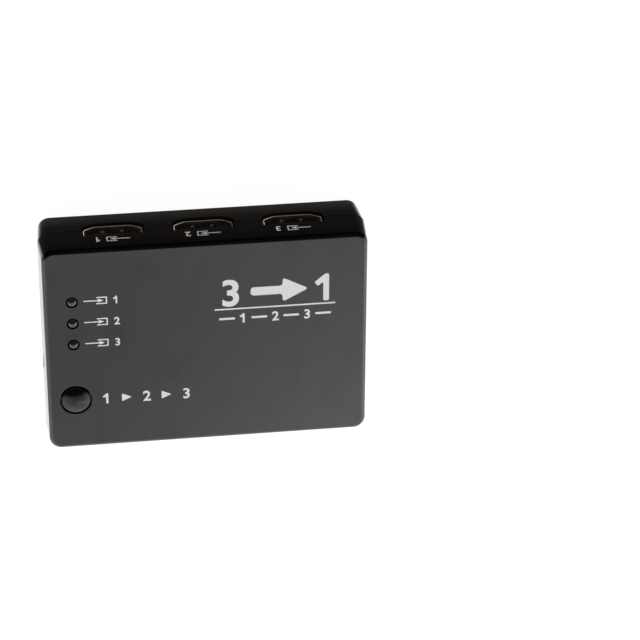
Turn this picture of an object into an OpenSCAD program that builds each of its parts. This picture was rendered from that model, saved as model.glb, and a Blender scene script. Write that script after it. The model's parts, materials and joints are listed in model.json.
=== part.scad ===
// A three-input video switch box, lying flat on its feet, in millimetres.
// +X is its right, +Y its rear wall with the three inputs, +Z is up.

/* [Case] */
// Width across the parting line
case_w = 80.7; // [80:0.1:95]
// Depth across the parting line
case_d = 57.4; // [56:0.1:70]
// Height without the feet
case_h = 18; // [17:0.25:24]
// Height of the bottom cover, up to the parting line
bottom_h = 9.2; // [8.6:0.1:10]
// Thickness of the walls at the parting line
wall_t = 1.8; // [1.6:0.1:2.1]
// Thickness of the top cover's roof
roof_t = 1.8; // [1.4:0.1:2.2]
// Thickness of the bottom cover's floor
floor_t = 1.6; // [1.4:0.1:2]
// Plan radius of the corners at the parting line
corner_r = 3; // [2.8:0.1:5]
// Radius of the edge round the roof
roof_edge_r = 1; // [0.6:0.1:1.4]
// Radius of the edge round the floor
floor_edge_r = 0.6; // [0.4:0.1:1]
// Lean of the outer walls, in degrees
draft_angle = 3.3; // [0.5:0.1:4]
// Width of the groove at the parting line
seam_gap = 0.25; // [0.15:0.05:0.4]
// Height of the bottom cover's locating lip
lip_h = 1.2; // [0.8:0.1:1.5]
// Thickness of the locating lip
lip_t = 0.7; // [0.5:0.05:0.9]
// Clearance between the lip and its rebate
lip_gap = 0.1; // [0.05:0.01:0.2]

/* [Feet] */
// Radius of a foot
foot_r = 3.5; // [3:0.1:4.5]
// Thickness of a foot
foot_t = 1.4; // [1.2:0.1:2.4]
// Depth of the recess that holds a foot
foot_sink = 0.6; // [0.3:0.1:0.8]
// Clearance round a foot in its recess
foot_gap = 0.1; // [0.05:0.05:0.3]
// Distance of a foot's axis from the outer walls
foot_inset = 12; // [11.5:0.5:16]

/* [Screws] */
// Distance of a screw's axis from the outer walls
screw_inset = 5.8; // [5.4:0.1:6.4]
// Radius of the screw's thread
screw_r = 1.1; // [0.9:0.05:1.3]
// Length of the screw under its head
screw_len = 9; // [7:0.5:12]
// Bite of the thread in the boss
screw_bite = 0.15; // [0.1:0.05:0.25]
// Depth of the boss's hole past the screw's tip
pilot_spare = 1; // [0.5:0.25:2]
// Radius of the screw's head
head_r = 2; // [1.8:0.05:2.2]
// Height of the screw's head
head_h = 1.1; // [0.8:0.1:1.3]
// Depth of the head's top below the floor's face
head_sink = 0.2; // [0.1:0.05:0.4]
// Clearance round the head and the thread
screw_gap = 0.2; // [0.1:0.05:0.3]
// Span of the cross in the head
driver_span = 2.4; // [2:0.1:2.8]
// Width of the cross in the head
driver_w = 0.55; // [0.4:0.05:0.7]
// Depth of the cross in the head
driver_depth = 0.6; // [0.4:0.05:0.7]
// Radius of a post under the board
post_r = 3; // [2.8:0.1:3.4]
// Radius of a boss above the board
boss_r = 2.6; // [2.2:0.1:3]

/* [Board] */
// Thickness of the circuit board
board_t = 1.6; // [1.2:0.2:1.8]
// Gap between the board's edge and the walls
board_gap = 0.6; // [0.4:0.1:1]
// Height of the posts above the floor
standoff_h = 2.7; // [2.4:0.1:3]
// Clearance of a pin in its board hole
hole_gap = 0.1; // [0.05:0.05:0.15]
// Length of a soldered tail below the board
tail_len = 0.9; // [0.5:0.1:1]

/* [Button] */
// Distance of the button and lamps from the left wall
control_from_left = 7.4; // [7.2:0.1:9]
// Share of the depth from the front wall to the button
button_share = 0.254; // [0.235:0.001:0.26]
// Radius of the button's cap
button_r = 3.55; // [3.4:0.05:4]
// Clearance round the cap
button_gap = 0.5; // [0.2:0.05:0.6]
// Height of the cap's rim above the roof
button_rim = 0.1; // [0:0.05:0.4]
// Height of the dome above the rim
button_dome = 0.9; // [0.5:0.05:1.4]
// Reach of the flange under the roof, past the hole
flange_reach = 0.6; // [0.4:0.05:0.7]
// Thickness of the flange
flange_t = 0.8; // [0.6:0.1:1.2]
// Gap between the flange and the roof
flange_gap = 0.15; // [0.1:0.05:0.3]
// Radius of the button's stem
stem_r = 1.6; // [1.2:0.1:1.7]
// Clearance between the flange and its guide
guide_gap = 0.2; // [0.15:0.05:0.3]
// Thickness of the guide ring
guide_t = 0.8; // [0.6:0.1:1]
// Height of the guide ring
guide_h = 2; // [1.6:0.1:2.4]

/* [Tact switch] */
// Side of the switch's square base
tact_w = 6; // [5.8:0.1:6.2]
// Height of the base
tact_base_h = 3.5; // [3.2:0.1:4]
// Height of the plunger's top above the board
tact_h = 8; // [7:0.1:8.3]
// Thickness of the cover plate
tact_plate_t = 0.25; // [0.2:0.05:0.3]
// Width of the cover plate's side tabs
tact_tab_w = 2.6; // [2:0.1:3.2]
// Length of the cover plate's side tabs
tact_tab_len = 2; // [1.5:0.1:2.6]
// Radius of the plunger
plunger_r = 1.75; // [1.6:0.05:1.9]
// Clearance of the plunger in the plate
plunger_gap = 0.08; // [0.05:0.01:0.1]
// Radius of the plunger's foot
plunger_foot_r = 2.3; // [2.1:0.05:2.4]
// Gap between the plunger's foot and the plate
plunger_play = 0.05; // [0.03:0.01:0.1]
// Radius of the well in the base
well_r = 2.6; // [2.5:0.05:2.8]
// Depth of the well
well_depth = 1.3; // [1.1:0.05:1.6]
// Radius of the snap dome
dome_r = 2.4; // [2:0.05:2.45]
// Height of the snap dome
dome_h = 0.45; // [0.4:0.05:0.6]
// Thickness of the snap dome
dome_t = 0.1; // [0.06:0.01:0.12]
// Spacing of the pins on one side
tact_pin_pitch = 4.5; // [4:0.1:5]
// Width of a pin
tact_pin_w = 0.7; // [0.5:0.05:0.9]
// Thickness of a pin
tact_pin_t = 0.3; // [0.2:0.05:0.4]
// Height of a pin above the board
tact_pin_h = 1.5; // [1:0.1:2]

/* [Lamps] */
// Share of the depth from the rear wall to the first lamp
lamp_share = 0.2595; // [0.24:0.0005:0.28]
// Gap between the last lamp's spacer and the power jack
lamp_to_jack = 3.2; // [2.5:0.1:4.5]
// Radius of a lamp's lens
lamp_r = 1.4; // [1.3:0.05:1.5]
// Clearance round a lens
lamp_gap = 0.1; // [0.1:0.05:0.25]
// Height of a lamp from its rim's underside to its top
lamp_h = 5.3; // [4.8:0.1:6]
// Height of a lamp's top above the roof
lamp_proud = 0.5; // [0.2:0.05:0.8]
// Radius of a lamp's rim
lamp_rim_r = 1.9; // [1.7:0.05:2]
// Thickness of a lamp's rim
lamp_rim_t = 1; // [0.8:0.1:1.2]
// Radius of the spacer under a lamp
spacer_r = 1.9; // [1.7:0.05:2]
// Spacing of leads on lamps and receiver
lead_pitch = 2.54; // [2:0.02:2.6]
// Side of a square lead
lead_w = 0.5; // [0.4:0.05:0.6]

/* [Sockets] */
// Width inside a socket's shell
socket_w = 14; // [13.9:0.05:14.2]
// Height inside a socket's shell
socket_h = 4.55; // [4.5:0.05:4.7]
// Width of the sloped corner of a shell
socket_run = 2.5; // [2:0.1:3]
// Height of the sloped corner of a shell
socket_rise = 1.5; // [1.2:0.1:2]
// Thickness of the shell's sheet
sheet_t = 0.35; // [0.25:0.05:0.4]
// Length of a shell
socket_len = 11.5; // [11:0.25:12.5]
// Depth of a shell's mouth behind the outer wall
socket_recess = 0.8; // [0.3:0.05:0.9]
// Clearance between a shell and the covers
mouth_gap = 0.35; // [0.3:0.05:0.5]
// Distance of the outer inputs' axes from the side walls
input_from_side = 18.2; // [17.5:0.1:20.5]
// Offset of the middle input from the centre
input_shift = 0.3; // [-0.6:0.1:0.6]
// Distance of the output's axis from the front wall
output_from_front = 25.5; // [24:0.5:28]
// Distance of the first shell legs from the mouth
leg_first = 4.4; // [4.2:0.1:5]
// Spacing of the shell legs along the shell
leg_pitch = 5.2; // [4:0.1:5.5]
// Width of a shell leg
leg_w = 1.4; // [1:0.1:1.8]
// Radius of the spring dimples inside a shell
dimple_r = 0.6; // [0.4:0.05:0.7]
// Height of the spring dimples
dimple_h = 0.25; // [0.15:0.05:0.35]
// Distance of the dimples from the shell's middle
dimple_x = 2.4; // [2:0.1:3]
// Distance of the dimples from the mouth
dimple_from_mouth = 1.5; // [1.3:0.1:2.5]

/* [Tongues and contacts] */
// Width of a tongue
tongue_w = 11; // [10.6:0.1:11.4]
// Thickness of a tongue
tongue_t = 1.1; // [1:0.05:1.3]
// Length of a tongue
tongue_len = 7; // [6.5:0.1:7.5]
// Depth of a tongue's tip behind the mouth
tongue_recess = 1; // [0.8:0.05:1.2]
// Height of a tongue above the shell's floor
tongue_lift = 1.9; // [1.6:0.05:2]
// Spacing of the contacts in a row
contact_pitch = 1; // [0.96:0.02:1.04]
// Width of a contact
contact_w = 0.35; // [0.3:0.01:0.4]
// Thickness of a contact
contact_t = 0.15; // [0.1:0.01:0.2]
// Distance of the contacts from the tongue's tip
contact_from_tip = 0.4; // [0.2:0.05:0.8]
// Gap between a contact's drop and the shell's rear
contact_drop_gap = 0.5; // [0.3:0.05:0.8]
// Length of a contact's foot on the board
contact_foot = 0.8; // [0.5:0.05:1]

/* [Power jack] */
// Gap between the jack's leaf and the tact switch
jack_to_switch = 1.3; // [0.8:0.1:2]
// Width of the jack's housing
jack_w = 6; // [5.6:0.1:6.2]
// Height of the jack's housing
jack_h = 5.8; // [5.6:0.1:6.2]
// Length of the housing inside the wall
jack_len = 7.6; // [7:0.1:8.5]
// Gap between the housing and the wall
jack_wall_gap = 0.3; // [0.2:0.05:0.5]
// Depth of the jack's face behind the outer wall
jack_recess = 0.5; // [0.4:0.05:0.8]
// Radius of the collar that shows in the wall
collar_r = 2.6; // [2.4:0.05:2.75]
// Clearance round the collar
collar_gap = 0.3; // [0.2:0.05:0.4]
// Radius of the plug's bore
jack_bore_r = 1.9; // [1.7:0.05:2]
// Thickness of the housing behind the bore
jack_back_t = 1.2; // [1:0.1:1.6]
// Radius of the centre pin
jack_pin_r = 0.65; // [0.5:0.05:0.8]
// Depth of the pin's tip behind the face
jack_pin_recess = 1.2; // [0.8:0.1:1.6]
// Width of the jack's terminals
terminal_w = 1.6; // [1.2:0.1:2]
// Thickness of the jack's terminals
terminal_t = 0.3; // [0.2:0.05:0.4]
// Length of the spring leaf
leaf_len = 4.4; // [3.6:0.1:5]
// Length of the leaf's nub along the bore
nub_len = 2; // [1.4:0.1:2.4]
// Height of the leaf and its nub
nub_h = 1.2; // [0.8:0.1:1.5]
// Reach of the nub into the bore
nub_reach = 0.15; // [0.05:0.05:0.25]

/* [Infrared receiver] */
// Offset of the receiver from the centre
receiver_x = 0; // [-6:0.5:6]
// Height of the window's axis above the case's underside
window_h = 13.2; // [12.8:0.1:13.4]
// Radius of the window
window_r = 2.2; // [1.8:0.05:2.3]
// Clearance round the window
window_gap = 0.04; // [0.02:0.01:0.08]
// Depth of the window's face behind the outer wall
window_recess = 0.5; // [0.4:0.05:0.7]
// Reach of the window's flange past its hole
window_flange = 0.5; // [0.3:0.05:0.6]
// Thickness of the window's flange
window_flange_t = 0.8; // [0.5:0.1:1.2]
// Gap between the window and the receiver
receiver_gap = 0.2; // [0.1:0.05:0.5]
// Radius of the receiver's lens
receiver_lens_r = 1.6; // [1.3:0.05:1.8]
// Width of the receiver's body
receiver_w = 6.4; // [6:0.1:7]
// Thickness of the receiver's body
receiver_t = 2.6; // [2.2:0.1:3]
// Height of the receiver's body
receiver_h = 5.4; // [4.6:0.1:6]

/* [Chips] */
// Side of the switching chip
switch_chip_w = 10; // [9:0.5:11]
// Place of the switching chip, in shares of the board's half size
switch_chip_at = [0.08, 0.08]; // [-0.15:0.01:0.15]
// Leads on each side of the switching chip
switch_lead_count = 16; // [12:2:16]
// Lead spacing of the switching chip
switch_lead_pitch = 0.5; // [0.44:0.02:0.5]
// Lead width of the switching chip
switch_lead_w = 0.22; // [0.16:0.02:0.24]
// Length of the control chip
control_chip_w = 9.9; // [9:0.1:10.5]
// Width of the control chip
control_chip_d = 3.9; // [3.6:0.1:4.2]
// Place of the control chip, in shares of the board's half size
control_chip_at = [-0.37, -0.34]; // [-0.38:0.01:-0.3]
// Leads on each long side of the control chip
control_lead_count = 8; // [4:1:8]
// Lead spacing of the control chip
control_lead_pitch = 1.27; // [1:0.01:1.27]
// Lead width of the control chip
control_lead_w = 0.4; // [0.3:0.05:0.5]
// Thickness of the chips' bodies
chip_t = 1.4; // [1.2:0.1:1.8]
// Gap between a chip and the board
chip_gap = 0.15; // [0.1:0.05:0.2]
// Thickness of the chips' leads
chip_lead_t = 0.15; // [0.1:0.01:0.2]
// Height of the leads' roots above the board
chip_lead_rise = 0.8; // [0.6:0.05:1]
// Reach of the leads' roots out of a chip
chip_lead_root = 0.4; // [0.3:0.05:0.5]
// Length of the leads' feet
chip_lead_foot = 0.5; // [0.4:0.05:0.6]

/* [Small parts] */
// Length of the voltage regulator
regulator_w = 6.5; // [6:0.1:7]
// Width of the voltage regulator
regulator_d = 3.5; // [3.2:0.1:3.8]
// Height of the voltage regulator
regulator_h = 1.6; // [1.4:0.1:1.8]
// Place of the voltage regulator, in shares of the board's half size
regulator_at = [-0.55, -0.04]; // [-0.58:0.01:0]
// Reach of the regulator's tab and leads
regulator_reach = 1.7; // [1.4:0.1:2]
// Width of the regulator's tab
regulator_tab_w = 3; // [2.6:0.1:3.2]
// Spacing of the regulator's leads
regulator_pitch = 2.3; // [2:0.1:2.4]
// Thickness of the regulator's tab and leads
regulator_lead_t = 0.3; // [0.2:0.05:0.4]
// Radius of the power capacitor
capacitor_r = 2.5; // [2:0.1:2.6]
// Height of the power capacitor
capacitor_h = 5.4; // [4.5:0.1:7]
// Side of the power capacitor's base
capacitor_base_w = 5.3; // [5.2:0.1:5.6]
// Height of the power capacitor's base
capacitor_base_h = 0.8; // [0.5:0.1:1]
// Place of the power capacitor, in shares of the board's half size
capacitor_at = [-0.55, 0.29]; // [-0.58:0.01:0.31]
// Length of the crystal
crystal_w = 11; // [10:0.1:11.5]
// Width of the crystal
crystal_d = 4.6; // [4:0.1:4.8]
// Height of the crystal
crystal_h = 3.4; // [2.5:0.1:4]
// Place of the crystal, in shares of the board's half size
crystal_at = [-0.37, -0.63]; // [-0.65:0.01:-0.3]
// Length of a chip capacitor or resistor
chip_part_w = 1.6; // [1.4:0.1:1.8]
// Width of a chip capacitor or resistor
chip_part_d = 0.8; // [0.6:0.1:1]
// Height of a chip capacitor
chip_capacitor_h = 0.8; // [0.6:0.1:1]
// Height of a chip resistor
chip_resistor_h = 0.45; // [0.3:0.05:0.6]
// Capacitors in each row
capacitor_count = 6; // [3:1:6]
// Resistors in each row
resistor_count = 6; // [3:1:6]
// Spacing of the small parts in a row
row_pitch = 3; // [2.4:0.1:3.2]
// Distance of the capacitor rows from the switching chip
capacitor_row_off = 8.6; // [8:0.1:9]
// Distance of the first resistor row from the switching chip
resistor_row_off = 11; // [10.5:0.1:12]
// Spacing of the resistor rows
resistor_row_pitch = 2.2; // [2:0.1:3]

/* [Hidden] */
$fn = 64;

// How far a cutter runs past the face it cuts
cut_over = 1;

// Levels
base_z = foot_t - foot_sink;
seam_z = base_z + bottom_h;
top_z = base_z + case_h;
floor_z = base_z + floor_t;
roof_z = top_z - roof_t;
board_z = floor_z + standoff_h;
board_top = board_z + board_t;
tail_z = board_z - tail_len;

// Plan centres of the case's corner arcs
corner_x = case_w / 2 - corner_r;
corner_y = case_d / 2 - corner_r;

// Screws and feet
screw_x = case_w / 2 - screw_inset;
screw_y = case_d / 2 - screw_inset;
foot_x = case_w / 2 - foot_inset;
foot_y = case_d / 2 - foot_inset;
head_z = base_z + head_sink;
head_seat_z = head_z + head_h;
screw_tip_z = head_seat_z + screw_len;
screw_hole_r = screw_r + screw_gap;

// Half size of the board, and a place on it
board_half = [case_w / 2 - wall_t - board_gap, case_d / 2 - wall_t - board_gap];
function on_board(share) = [share.x * board_half.x, share.y * board_half.y];

// Button and tact switch
control_x = control_from_left - case_w / 2;
button_y = (button_share - 0.5) * case_d;
button_hole_r = button_r + button_gap;
flange_r = button_hole_r + flange_reach;
flange_top_z = roof_z - flange_gap;
rim_z = top_z + button_rim;
button_dome_r = (button_r * button_r + button_dome * button_dome) / (2 * button_dome);
guide_inner_r = flange_r + guide_gap;
tact_top_z = board_top + tact_base_h;
well_z = tact_top_z - well_depth;
plunger_top_z = board_top + tact_h;
snap_sphere_r = (dome_r * dome_r + dome_h * dome_h) / (2 * dome_h);

// Power jack, beside the tact switch
jack_y = button_y + tact_w / 2 + tact_plate_t + jack_to_switch + terminal_t + jack_w / 2;
jack_z = board_top + jack_h / 2;
jack_face_x = jack_recess - case_w / 2;
jack_block_x = wall_t + jack_wall_gap - case_w / 2;
jack_rear_x = jack_block_x + jack_len;
leaf_x = jack_block_x + jack_len / 2;

// Lamps, evenly spaced from the first one to the one beside the jack
first_lamp_y = (0.5 - lamp_share) * case_d;
last_lamp_y = jack_y + jack_w / 2 + lamp_to_jack + spacer_r;
lamp_ys = [first_lamp_y, (first_lamp_y + last_lamp_y) / 2, last_lamp_y];
lamp_z = top_z + lamp_proud - lamp_h;

// Sockets
input_xs = [for (i = [-1:1]) input_shift + i * (case_w / 2 - input_from_side)];
input_y = case_d / 2 - socket_recess;
output_x = case_w / 2 - socket_recess;
output_y = output_from_front - case_d / 2;
socket_floor_z = board_top + sheet_t;
slope_len = norm([socket_run, socket_rise]);
tongue_z = socket_floor_z + tongue_lift;
tongue_root = tongue_recess + tongue_len;

// Infrared receiver
window_z = base_z + window_h;
window_face_y = window_recess - case_d / 2;
window_seat_y = wall_t - case_d / 2;
receiver_lens_y = window_seat_y + window_flange_t + receiver_gap;
receiver_y = receiver_lens_y + receiver_lens_r;
receiver_lead_y = receiver_y + receiver_t / 2;

// Half section of a cover: x runs out from the corner arcs' centres, y away from the parting line
module wall_profile(height, edge_r) {
    low = seam_gap / 2;
    arc_y = height - edge_r;
    arc_x = corner_r - (edge_r + sin(draft_angle) * arc_y) / cos(draft_angle);
    arc_start = [arc_x + edge_r * cos(draft_angle), arc_y + edge_r * sin(draft_angle)];
    sharp = [corner_r - height * tan(draft_angle), height];
    polygon([
        [0, low], [corner_r - low * tan(draft_angle), low], arc_start,
        [arc_x, arc_y], [arc_x, height], [0, height],
    ]);
    intersection() {
        translate([arc_x, arc_y]) circle(edge_r);
        polygon([[arc_x, arc_y], arc_start, sharp, [arc_x, height]]);
    }
}

// A half section carried round the case's plan
module plan_sweep(low, high) {
    translate([-corner_x, -corner_y, low]) cube([2 * corner_x, 2 * corner_y, high - low]);
    for (side = [0, 1]) {
        mirror([0, side, 0])
            translate([-corner_x, corner_y, 0])
            rotate([90, 0, 90])
            linear_extrude(2 * corner_x) children();
        mirror([side, 0, 0])
            translate([corner_x, corner_y, 0])
            rotate([90, 0, 0])
            linear_extrude(2 * corner_y) children();
        for (end = [0, 1])
            mirror([side, 0, 0])
                mirror([0, end, 0])
                translate([corner_x, corner_y, 0])
                rotate_extrude(angle = 90) children();
    }
}

// An upright block that follows the case's plan at an inset from the parting line
module plan_block(inset, low, high) {
    if (inset < corner_r)
        plan_sweep(low, high)
            translate([0, low]) square([corner_r - inset, high - low]);
    else
        translate([inset - case_w / 2, inset - case_d / 2, low])
            cube([case_w - 2 * inset, case_d - 2 * inset, high - low]);
}

// The outer form of a cover, rising from the parting line
module cover_block(height, edge_r) {
    plan_sweep(seam_gap / 2, height) wall_profile(height, edge_r);
}

// Places where pieces repeat
module at_screws() {
    for (x = [-screw_x, screw_x], y = [-screw_y, screw_y]) translate([x, y, 0]) children();
}
module at_feet() {
    for (x = [-foot_x, foot_x], y = [-foot_y, foot_y]) translate([x, y, 0]) children();
}
module at_button() {
    translate([control_x, button_y, 0]) children();
}
module at_lamps() {
    for (y = lamp_ys) translate([control_x, y, 0]) children();
}
module at_lamp_leads() {
    at_lamps() for (side = [-1, 1]) translate([side * lead_pitch / 2, 0, 0]) children();
}
module at_tact_pins() {
    at_button()
        for (x = [-1, 1], y = [-1, 1])
            translate([x * (tact_w + tact_pin_t) / 2, y * tact_pin_pitch / 2, 0]) children();
}
module at_input(number) {
    translate([input_xs[number - 1], input_y, 0]) children();
}
module at_output() {
    translate([output_x, output_y, 0]) rotate(-90) children();
}
module at_sockets() {
    for (number = [1:3]) at_input(number) children();
    at_output() children();
}
module at_shell_legs() {
    for (side = [-1, 1], i = [0, 1])
        translate([side * (socket_w + sheet_t) / 2, -leg_first - i * leg_pitch, 0]) children();
}
module at_jack_axis(x) {
    translate([x, jack_y, jack_z]) rotate([0, 90, 0]) children();
}
module at_pin_terminal() {
    translate([jack_rear_x + terminal_t / 2, jack_y, 0]) children();
}
module at_leaf_terminal() {
    translate([leaf_x, jack_y - (jack_w + terminal_t) / 2, 0]) children();
}
module at_receiver_leads() {
    for (i = [-1:1]) translate([receiver_x + i * lead_pitch, receiver_lead_y, 0]) children();
}

// An upright rod, an upright strip, and the board hole that a strip passes through
module rod(r, low, high) {
    translate([0, 0, low]) cylinder(r = r, h = high - low);
}
module strip(w, d, low, high) {
    translate([-w / 2, -d / 2, low]) cube([w, d, high - low]);
}
module board_hole(w, d) {
    strip(w + 2 * hole_gap, d + 2 * hole_gap, board_z - cut_over, board_top + cut_over);
}

// Outline of a socket's opening, grown evenly: wide at the top, with sloped lower corners
function socket_outline(grow) =
    let (
        side = socket_w / 2 + grow,
        low = socket_floor_z - grow,
        high = socket_floor_z + socket_h + grow,
        flat = socket_w / 2 - socket_run + grow * (slope_len - socket_run) / socket_rise,
        knee = socket_floor_z + socket_rise + grow * (socket_rise - slope_len) / socket_run
    )
    [[-flat, low], [flat, low], [side, knee], [side, high], [-side, high], [-side, knee]];

// A socket's outline run back from its mouth, between two depths
module socket_run_back(grow, front, rear) {
    translate([0, -front, 0])
        rotate([90, 0, 0])
        linear_extrude(rear - front) polygon(socket_outline(grow));
}

module socket_mouth() {
    socket_run_back(sheet_t + mouth_gap, -socket_recess - cut_over, wall_t + cut_over);
}

// What passes through the walls of both covers
module wall_openings() {
    at_sockets() socket_mouth();
    at_jack_axis(-case_w / 2 - cut_over) cylinder(r = collar_r + collar_gap, h = wall_t + 2 * cut_over);
}

module top_cover() color("#141414") {
    difference() {
        translate([0, 0, seam_z]) cover_block(top_z - seam_z, roof_edge_r);
        plan_block(wall_t, seam_z - cut_over, roof_z);
        plan_block(wall_t - lip_t - lip_gap, seam_z - cut_over, seam_z + lip_h + lip_gap);
        wall_openings();
        at_button() rod(button_hole_r, roof_z - cut_over, top_z + cut_over);
        at_lamps() rod(lamp_r + lamp_gap, roof_z - cut_over, top_z + cut_over);
        translate([receiver_x, window_seat_y + cut_over, window_z])
            rotate([90, 0, 0])
            cylinder(r = window_r, h = wall_t + 2 * cut_over);
    }
    at_screws() difference() {
        rod(boss_r, board_top, roof_z + roof_t / 2);
        rod(screw_r - screw_bite, board_top - cut_over, screw_tip_z + pilot_spare);
    }
    at_button() difference() {
        rod(guide_inner_r + guide_t, roof_z - guide_h, roof_z + roof_t / 2);
        rod(guide_inner_r, roof_z - guide_h - cut_over, roof_z);
        rod(button_hole_r, roof_z - cut_over, top_z);
    }
}

module bottom_cover() color("#1c1c1c") difference() {
    union() {
        difference() {
            union() {
                translate([0, 0, seam_z]) mirror([0, 0, 1]) cover_block(seam_z - base_z, floor_edge_r);
                plan_block(wall_t - lip_t, seam_z - lip_h, seam_z + lip_h);
            }
            plan_block(wall_t, floor_z, seam_z + lip_h + cut_over);
            wall_openings();
        }
        at_screws() rod(post_r, floor_z - floor_t / 2, board_z);
    }
    at_screws() {
        rod(head_r + screw_gap, base_z - cut_over, head_seat_z);
        rod(screw_hole_r, base_z, board_z + cut_over);
    }
    at_feet() rod(foot_r + foot_gap, base_z - cut_over, base_z + foot_sink);
}

module case_screws() color("dimgray") at_screws() difference() {
    union() {
        rod(head_r, head_z, head_seat_z);
        rod(screw_r, head_seat_z - head_h / 2, screw_tip_z);
    }
    for (turn = [0, 90])
        rotate(turn) strip(driver_span, driver_w, head_z - cut_over, head_z + driver_depth);
}

module rubber_feet() color("#222222") at_feet() rod(foot_r, 0, foot_t);

module circuit_board() color("darkgreen") difference() {
    plan_block(wall_t + board_gap, board_z, board_top);
    at_screws() rod(screw_hole_r, board_z - cut_over, board_top + cut_over);
    at_lamp_leads() board_hole(lead_w, lead_w);
    at_tact_pins() board_hole(tact_pin_t, tact_pin_w);
    at_sockets() at_shell_legs() board_hole(sheet_t, leg_w);
    at_pin_terminal() board_hole(terminal_t, terminal_w);
    at_leaf_terminal() board_hole(terminal_w, terminal_t);
    at_receiver_leads() board_hole(lead_w, lead_w);
}

module select_button() color("#202020") at_button() rotate_extrude() {
    translate([0, plunger_top_z]) square([stem_r, flange_top_z - plunger_top_z]);
    translate([0, flange_top_z - flange_t]) square([flange_r, flange_t]);
    translate([0, flange_top_z]) square([button_r, rim_z - flange_top_z]);
    translate([0, rim_z]) intersection() {
        translate([0, button_dome - button_dome_r]) circle(button_dome_r);
        square([button_r, button_dome]);
    }
}

module tact_switch_plunger() color("black") at_button() {
    foot_z = well_z + dome_h;
    rod(plunger_foot_r, foot_z, tact_top_z - plunger_play);
    rod(plunger_r, foot_z, plunger_top_z);
}

module tact_switch_base() color("#262626") at_button() difference() {
    strip(tact_w, tact_w, board_top, tact_top_z);
    rod(well_r, well_z, tact_top_z + cut_over);
}

module tact_switch_plate() color("silver") at_button() difference() {
    union() {
        strip(tact_w, tact_w, tact_top_z, tact_top_z + tact_plate_t);
        for (side = [-1, 1])
            translate([0, side * (tact_w + tact_plate_t) / 2, 0])
                strip(tact_tab_w, tact_plate_t, tact_top_z - tact_tab_len, tact_top_z + tact_plate_t);
    }
    rod(plunger_r + plunger_gap, tact_top_z - cut_over, tact_top_z + tact_plate_t + cut_over);
}

module tact_switch_dome() color("gainsboro") at_button()
    translate([0, 0, well_z])
    rotate_extrude() intersection() {
        translate([0, dome_h - snap_sphere_r]) difference() {
            circle(snap_sphere_r);
            circle(snap_sphere_r - dome_t);
        }
        square([dome_r, dome_h]);
    }

module tact_switch_pins() color("silver") at_tact_pins()
    strip(tact_pin_t, tact_pin_w, tail_z, board_top + tact_pin_h);

module lamp(number) color("darkolivegreen")
    translate([control_x, lamp_ys[number - 1], lamp_z])
    rotate_extrude() {
        square([lamp_rim_r, lamp_rim_t]);
        square([lamp_r, lamp_h - lamp_r]);
        translate([0, lamp_h - lamp_r]) intersection() {
            circle(lamp_r);
            square(lamp_r);
        }
    }

module lamp_leads() color("silver") at_lamp_leads() strip(lead_w, lead_w, tail_z, lamp_z);

module lamp_spacers() color("#303030") difference() {
    slot_w = lead_w + 2 * hole_gap;
    at_lamps() rod(spacer_r, board_top, lamp_z);
    at_lamp_leads() strip(slot_w, slot_w, board_top - cut_over, lamp_z + cut_over);
}

module socket_shell() color("goldenrod") {
    difference() {
        socket_run_back(sheet_t, 0, socket_len);
        socket_run_back(0, -cut_over, socket_len + cut_over);
    }
    at_shell_legs() strip(sheet_t, leg_w, tail_z, socket_floor_z + socket_h / 2);
    for (side = [-1, 1])
        translate([side * dimple_x, -dimple_from_mouth, socket_floor_z - sheet_t / 2])
            cylinder(r = dimple_r, h = sheet_t / 2 + dimple_h);
}

// One contact: along the tongue, through the tongue's root and down to the board
module contact(level) {
    tip = -tongue_recess - contact_from_tip;
    drop = -socket_len - contact_drop_gap;
    rotate([90, 0, 90])
        linear_extrude(contact_w, center = true)
        polygon([
            [tip, level], [tip, level + contact_t],
            [drop - contact_t, level + contact_t], [drop - contact_t, board_top + contact_t],
            [drop - contact_t - contact_foot, board_top + contact_t],
            [drop - contact_t - contact_foot, board_top], [drop, board_top], [drop, level],
        ]);
}

module socket_contacts() color("gold") {
    for (i = [0:9]) translate([(i - 4.5) * contact_pitch, 0, 0]) contact(tongue_z + tongue_t);
    for (i = [0:8]) translate([(i - 4) * contact_pitch, 0, 0]) contact(tongue_z - contact_t);
}

module socket_tongue() color("#101010") difference() {
    union() {
        socket_run_back(0, tongue_root, socket_len);
        translate([-tongue_w / 2, -tongue_root - cut_over, tongue_z])
            cube([tongue_w, tongue_len + cut_over, tongue_t]);
    }
    socket_contacts();
}

module power_jack_housing() color("#181818") difference() {
    union() {
        translate([jack_block_x, jack_y - jack_w / 2, board_top]) cube([jack_len, jack_w, jack_h]);
        at_jack_axis(jack_face_x) cylinder(r = collar_r, h = jack_block_x - jack_face_x + cut_over);
    }
    at_jack_axis(jack_face_x - cut_over)
        cylinder(r = jack_bore_r, h = jack_rear_x - jack_back_t - jack_face_x + cut_over);
    at_jack_axis(jack_rear_x - jack_back_t - cut_over)
        cylinder(r = jack_pin_r, h = jack_back_t + 2 * cut_over);
    at_leaf_terminal()
        translate([-nub_len / 2 - hole_gap, 0, jack_z - nub_h / 2 - hole_gap])
        cube([nub_len + 2 * hole_gap, jack_w / 2, nub_h + 2 * hole_gap]);
}

module power_jack_pin() color("silver") {
    tip_x = jack_face_x + jack_pin_recess;
    at_jack_axis(tip_x) cylinder(r = jack_pin_r, h = jack_rear_x - tip_x + terminal_t / 2);
    at_pin_terminal() strip(terminal_t, terminal_w, tail_z, jack_z + terminal_w / 2);
}

module power_jack_leaf() color("silver") at_leaf_terminal() {
    strip(terminal_w, terminal_t, tail_z, jack_z);
    translate([-leaf_len / 2, -terminal_t / 2, jack_z - nub_h / 2]) cube([leaf_len, terminal_t, nub_h]);
    translate([-nub_len / 2, 0, jack_z - nub_h / 2])
        cube([nub_len, jack_w / 2 + terminal_t / 2 - jack_bore_r + nub_reach, nub_h]);
}

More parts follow.
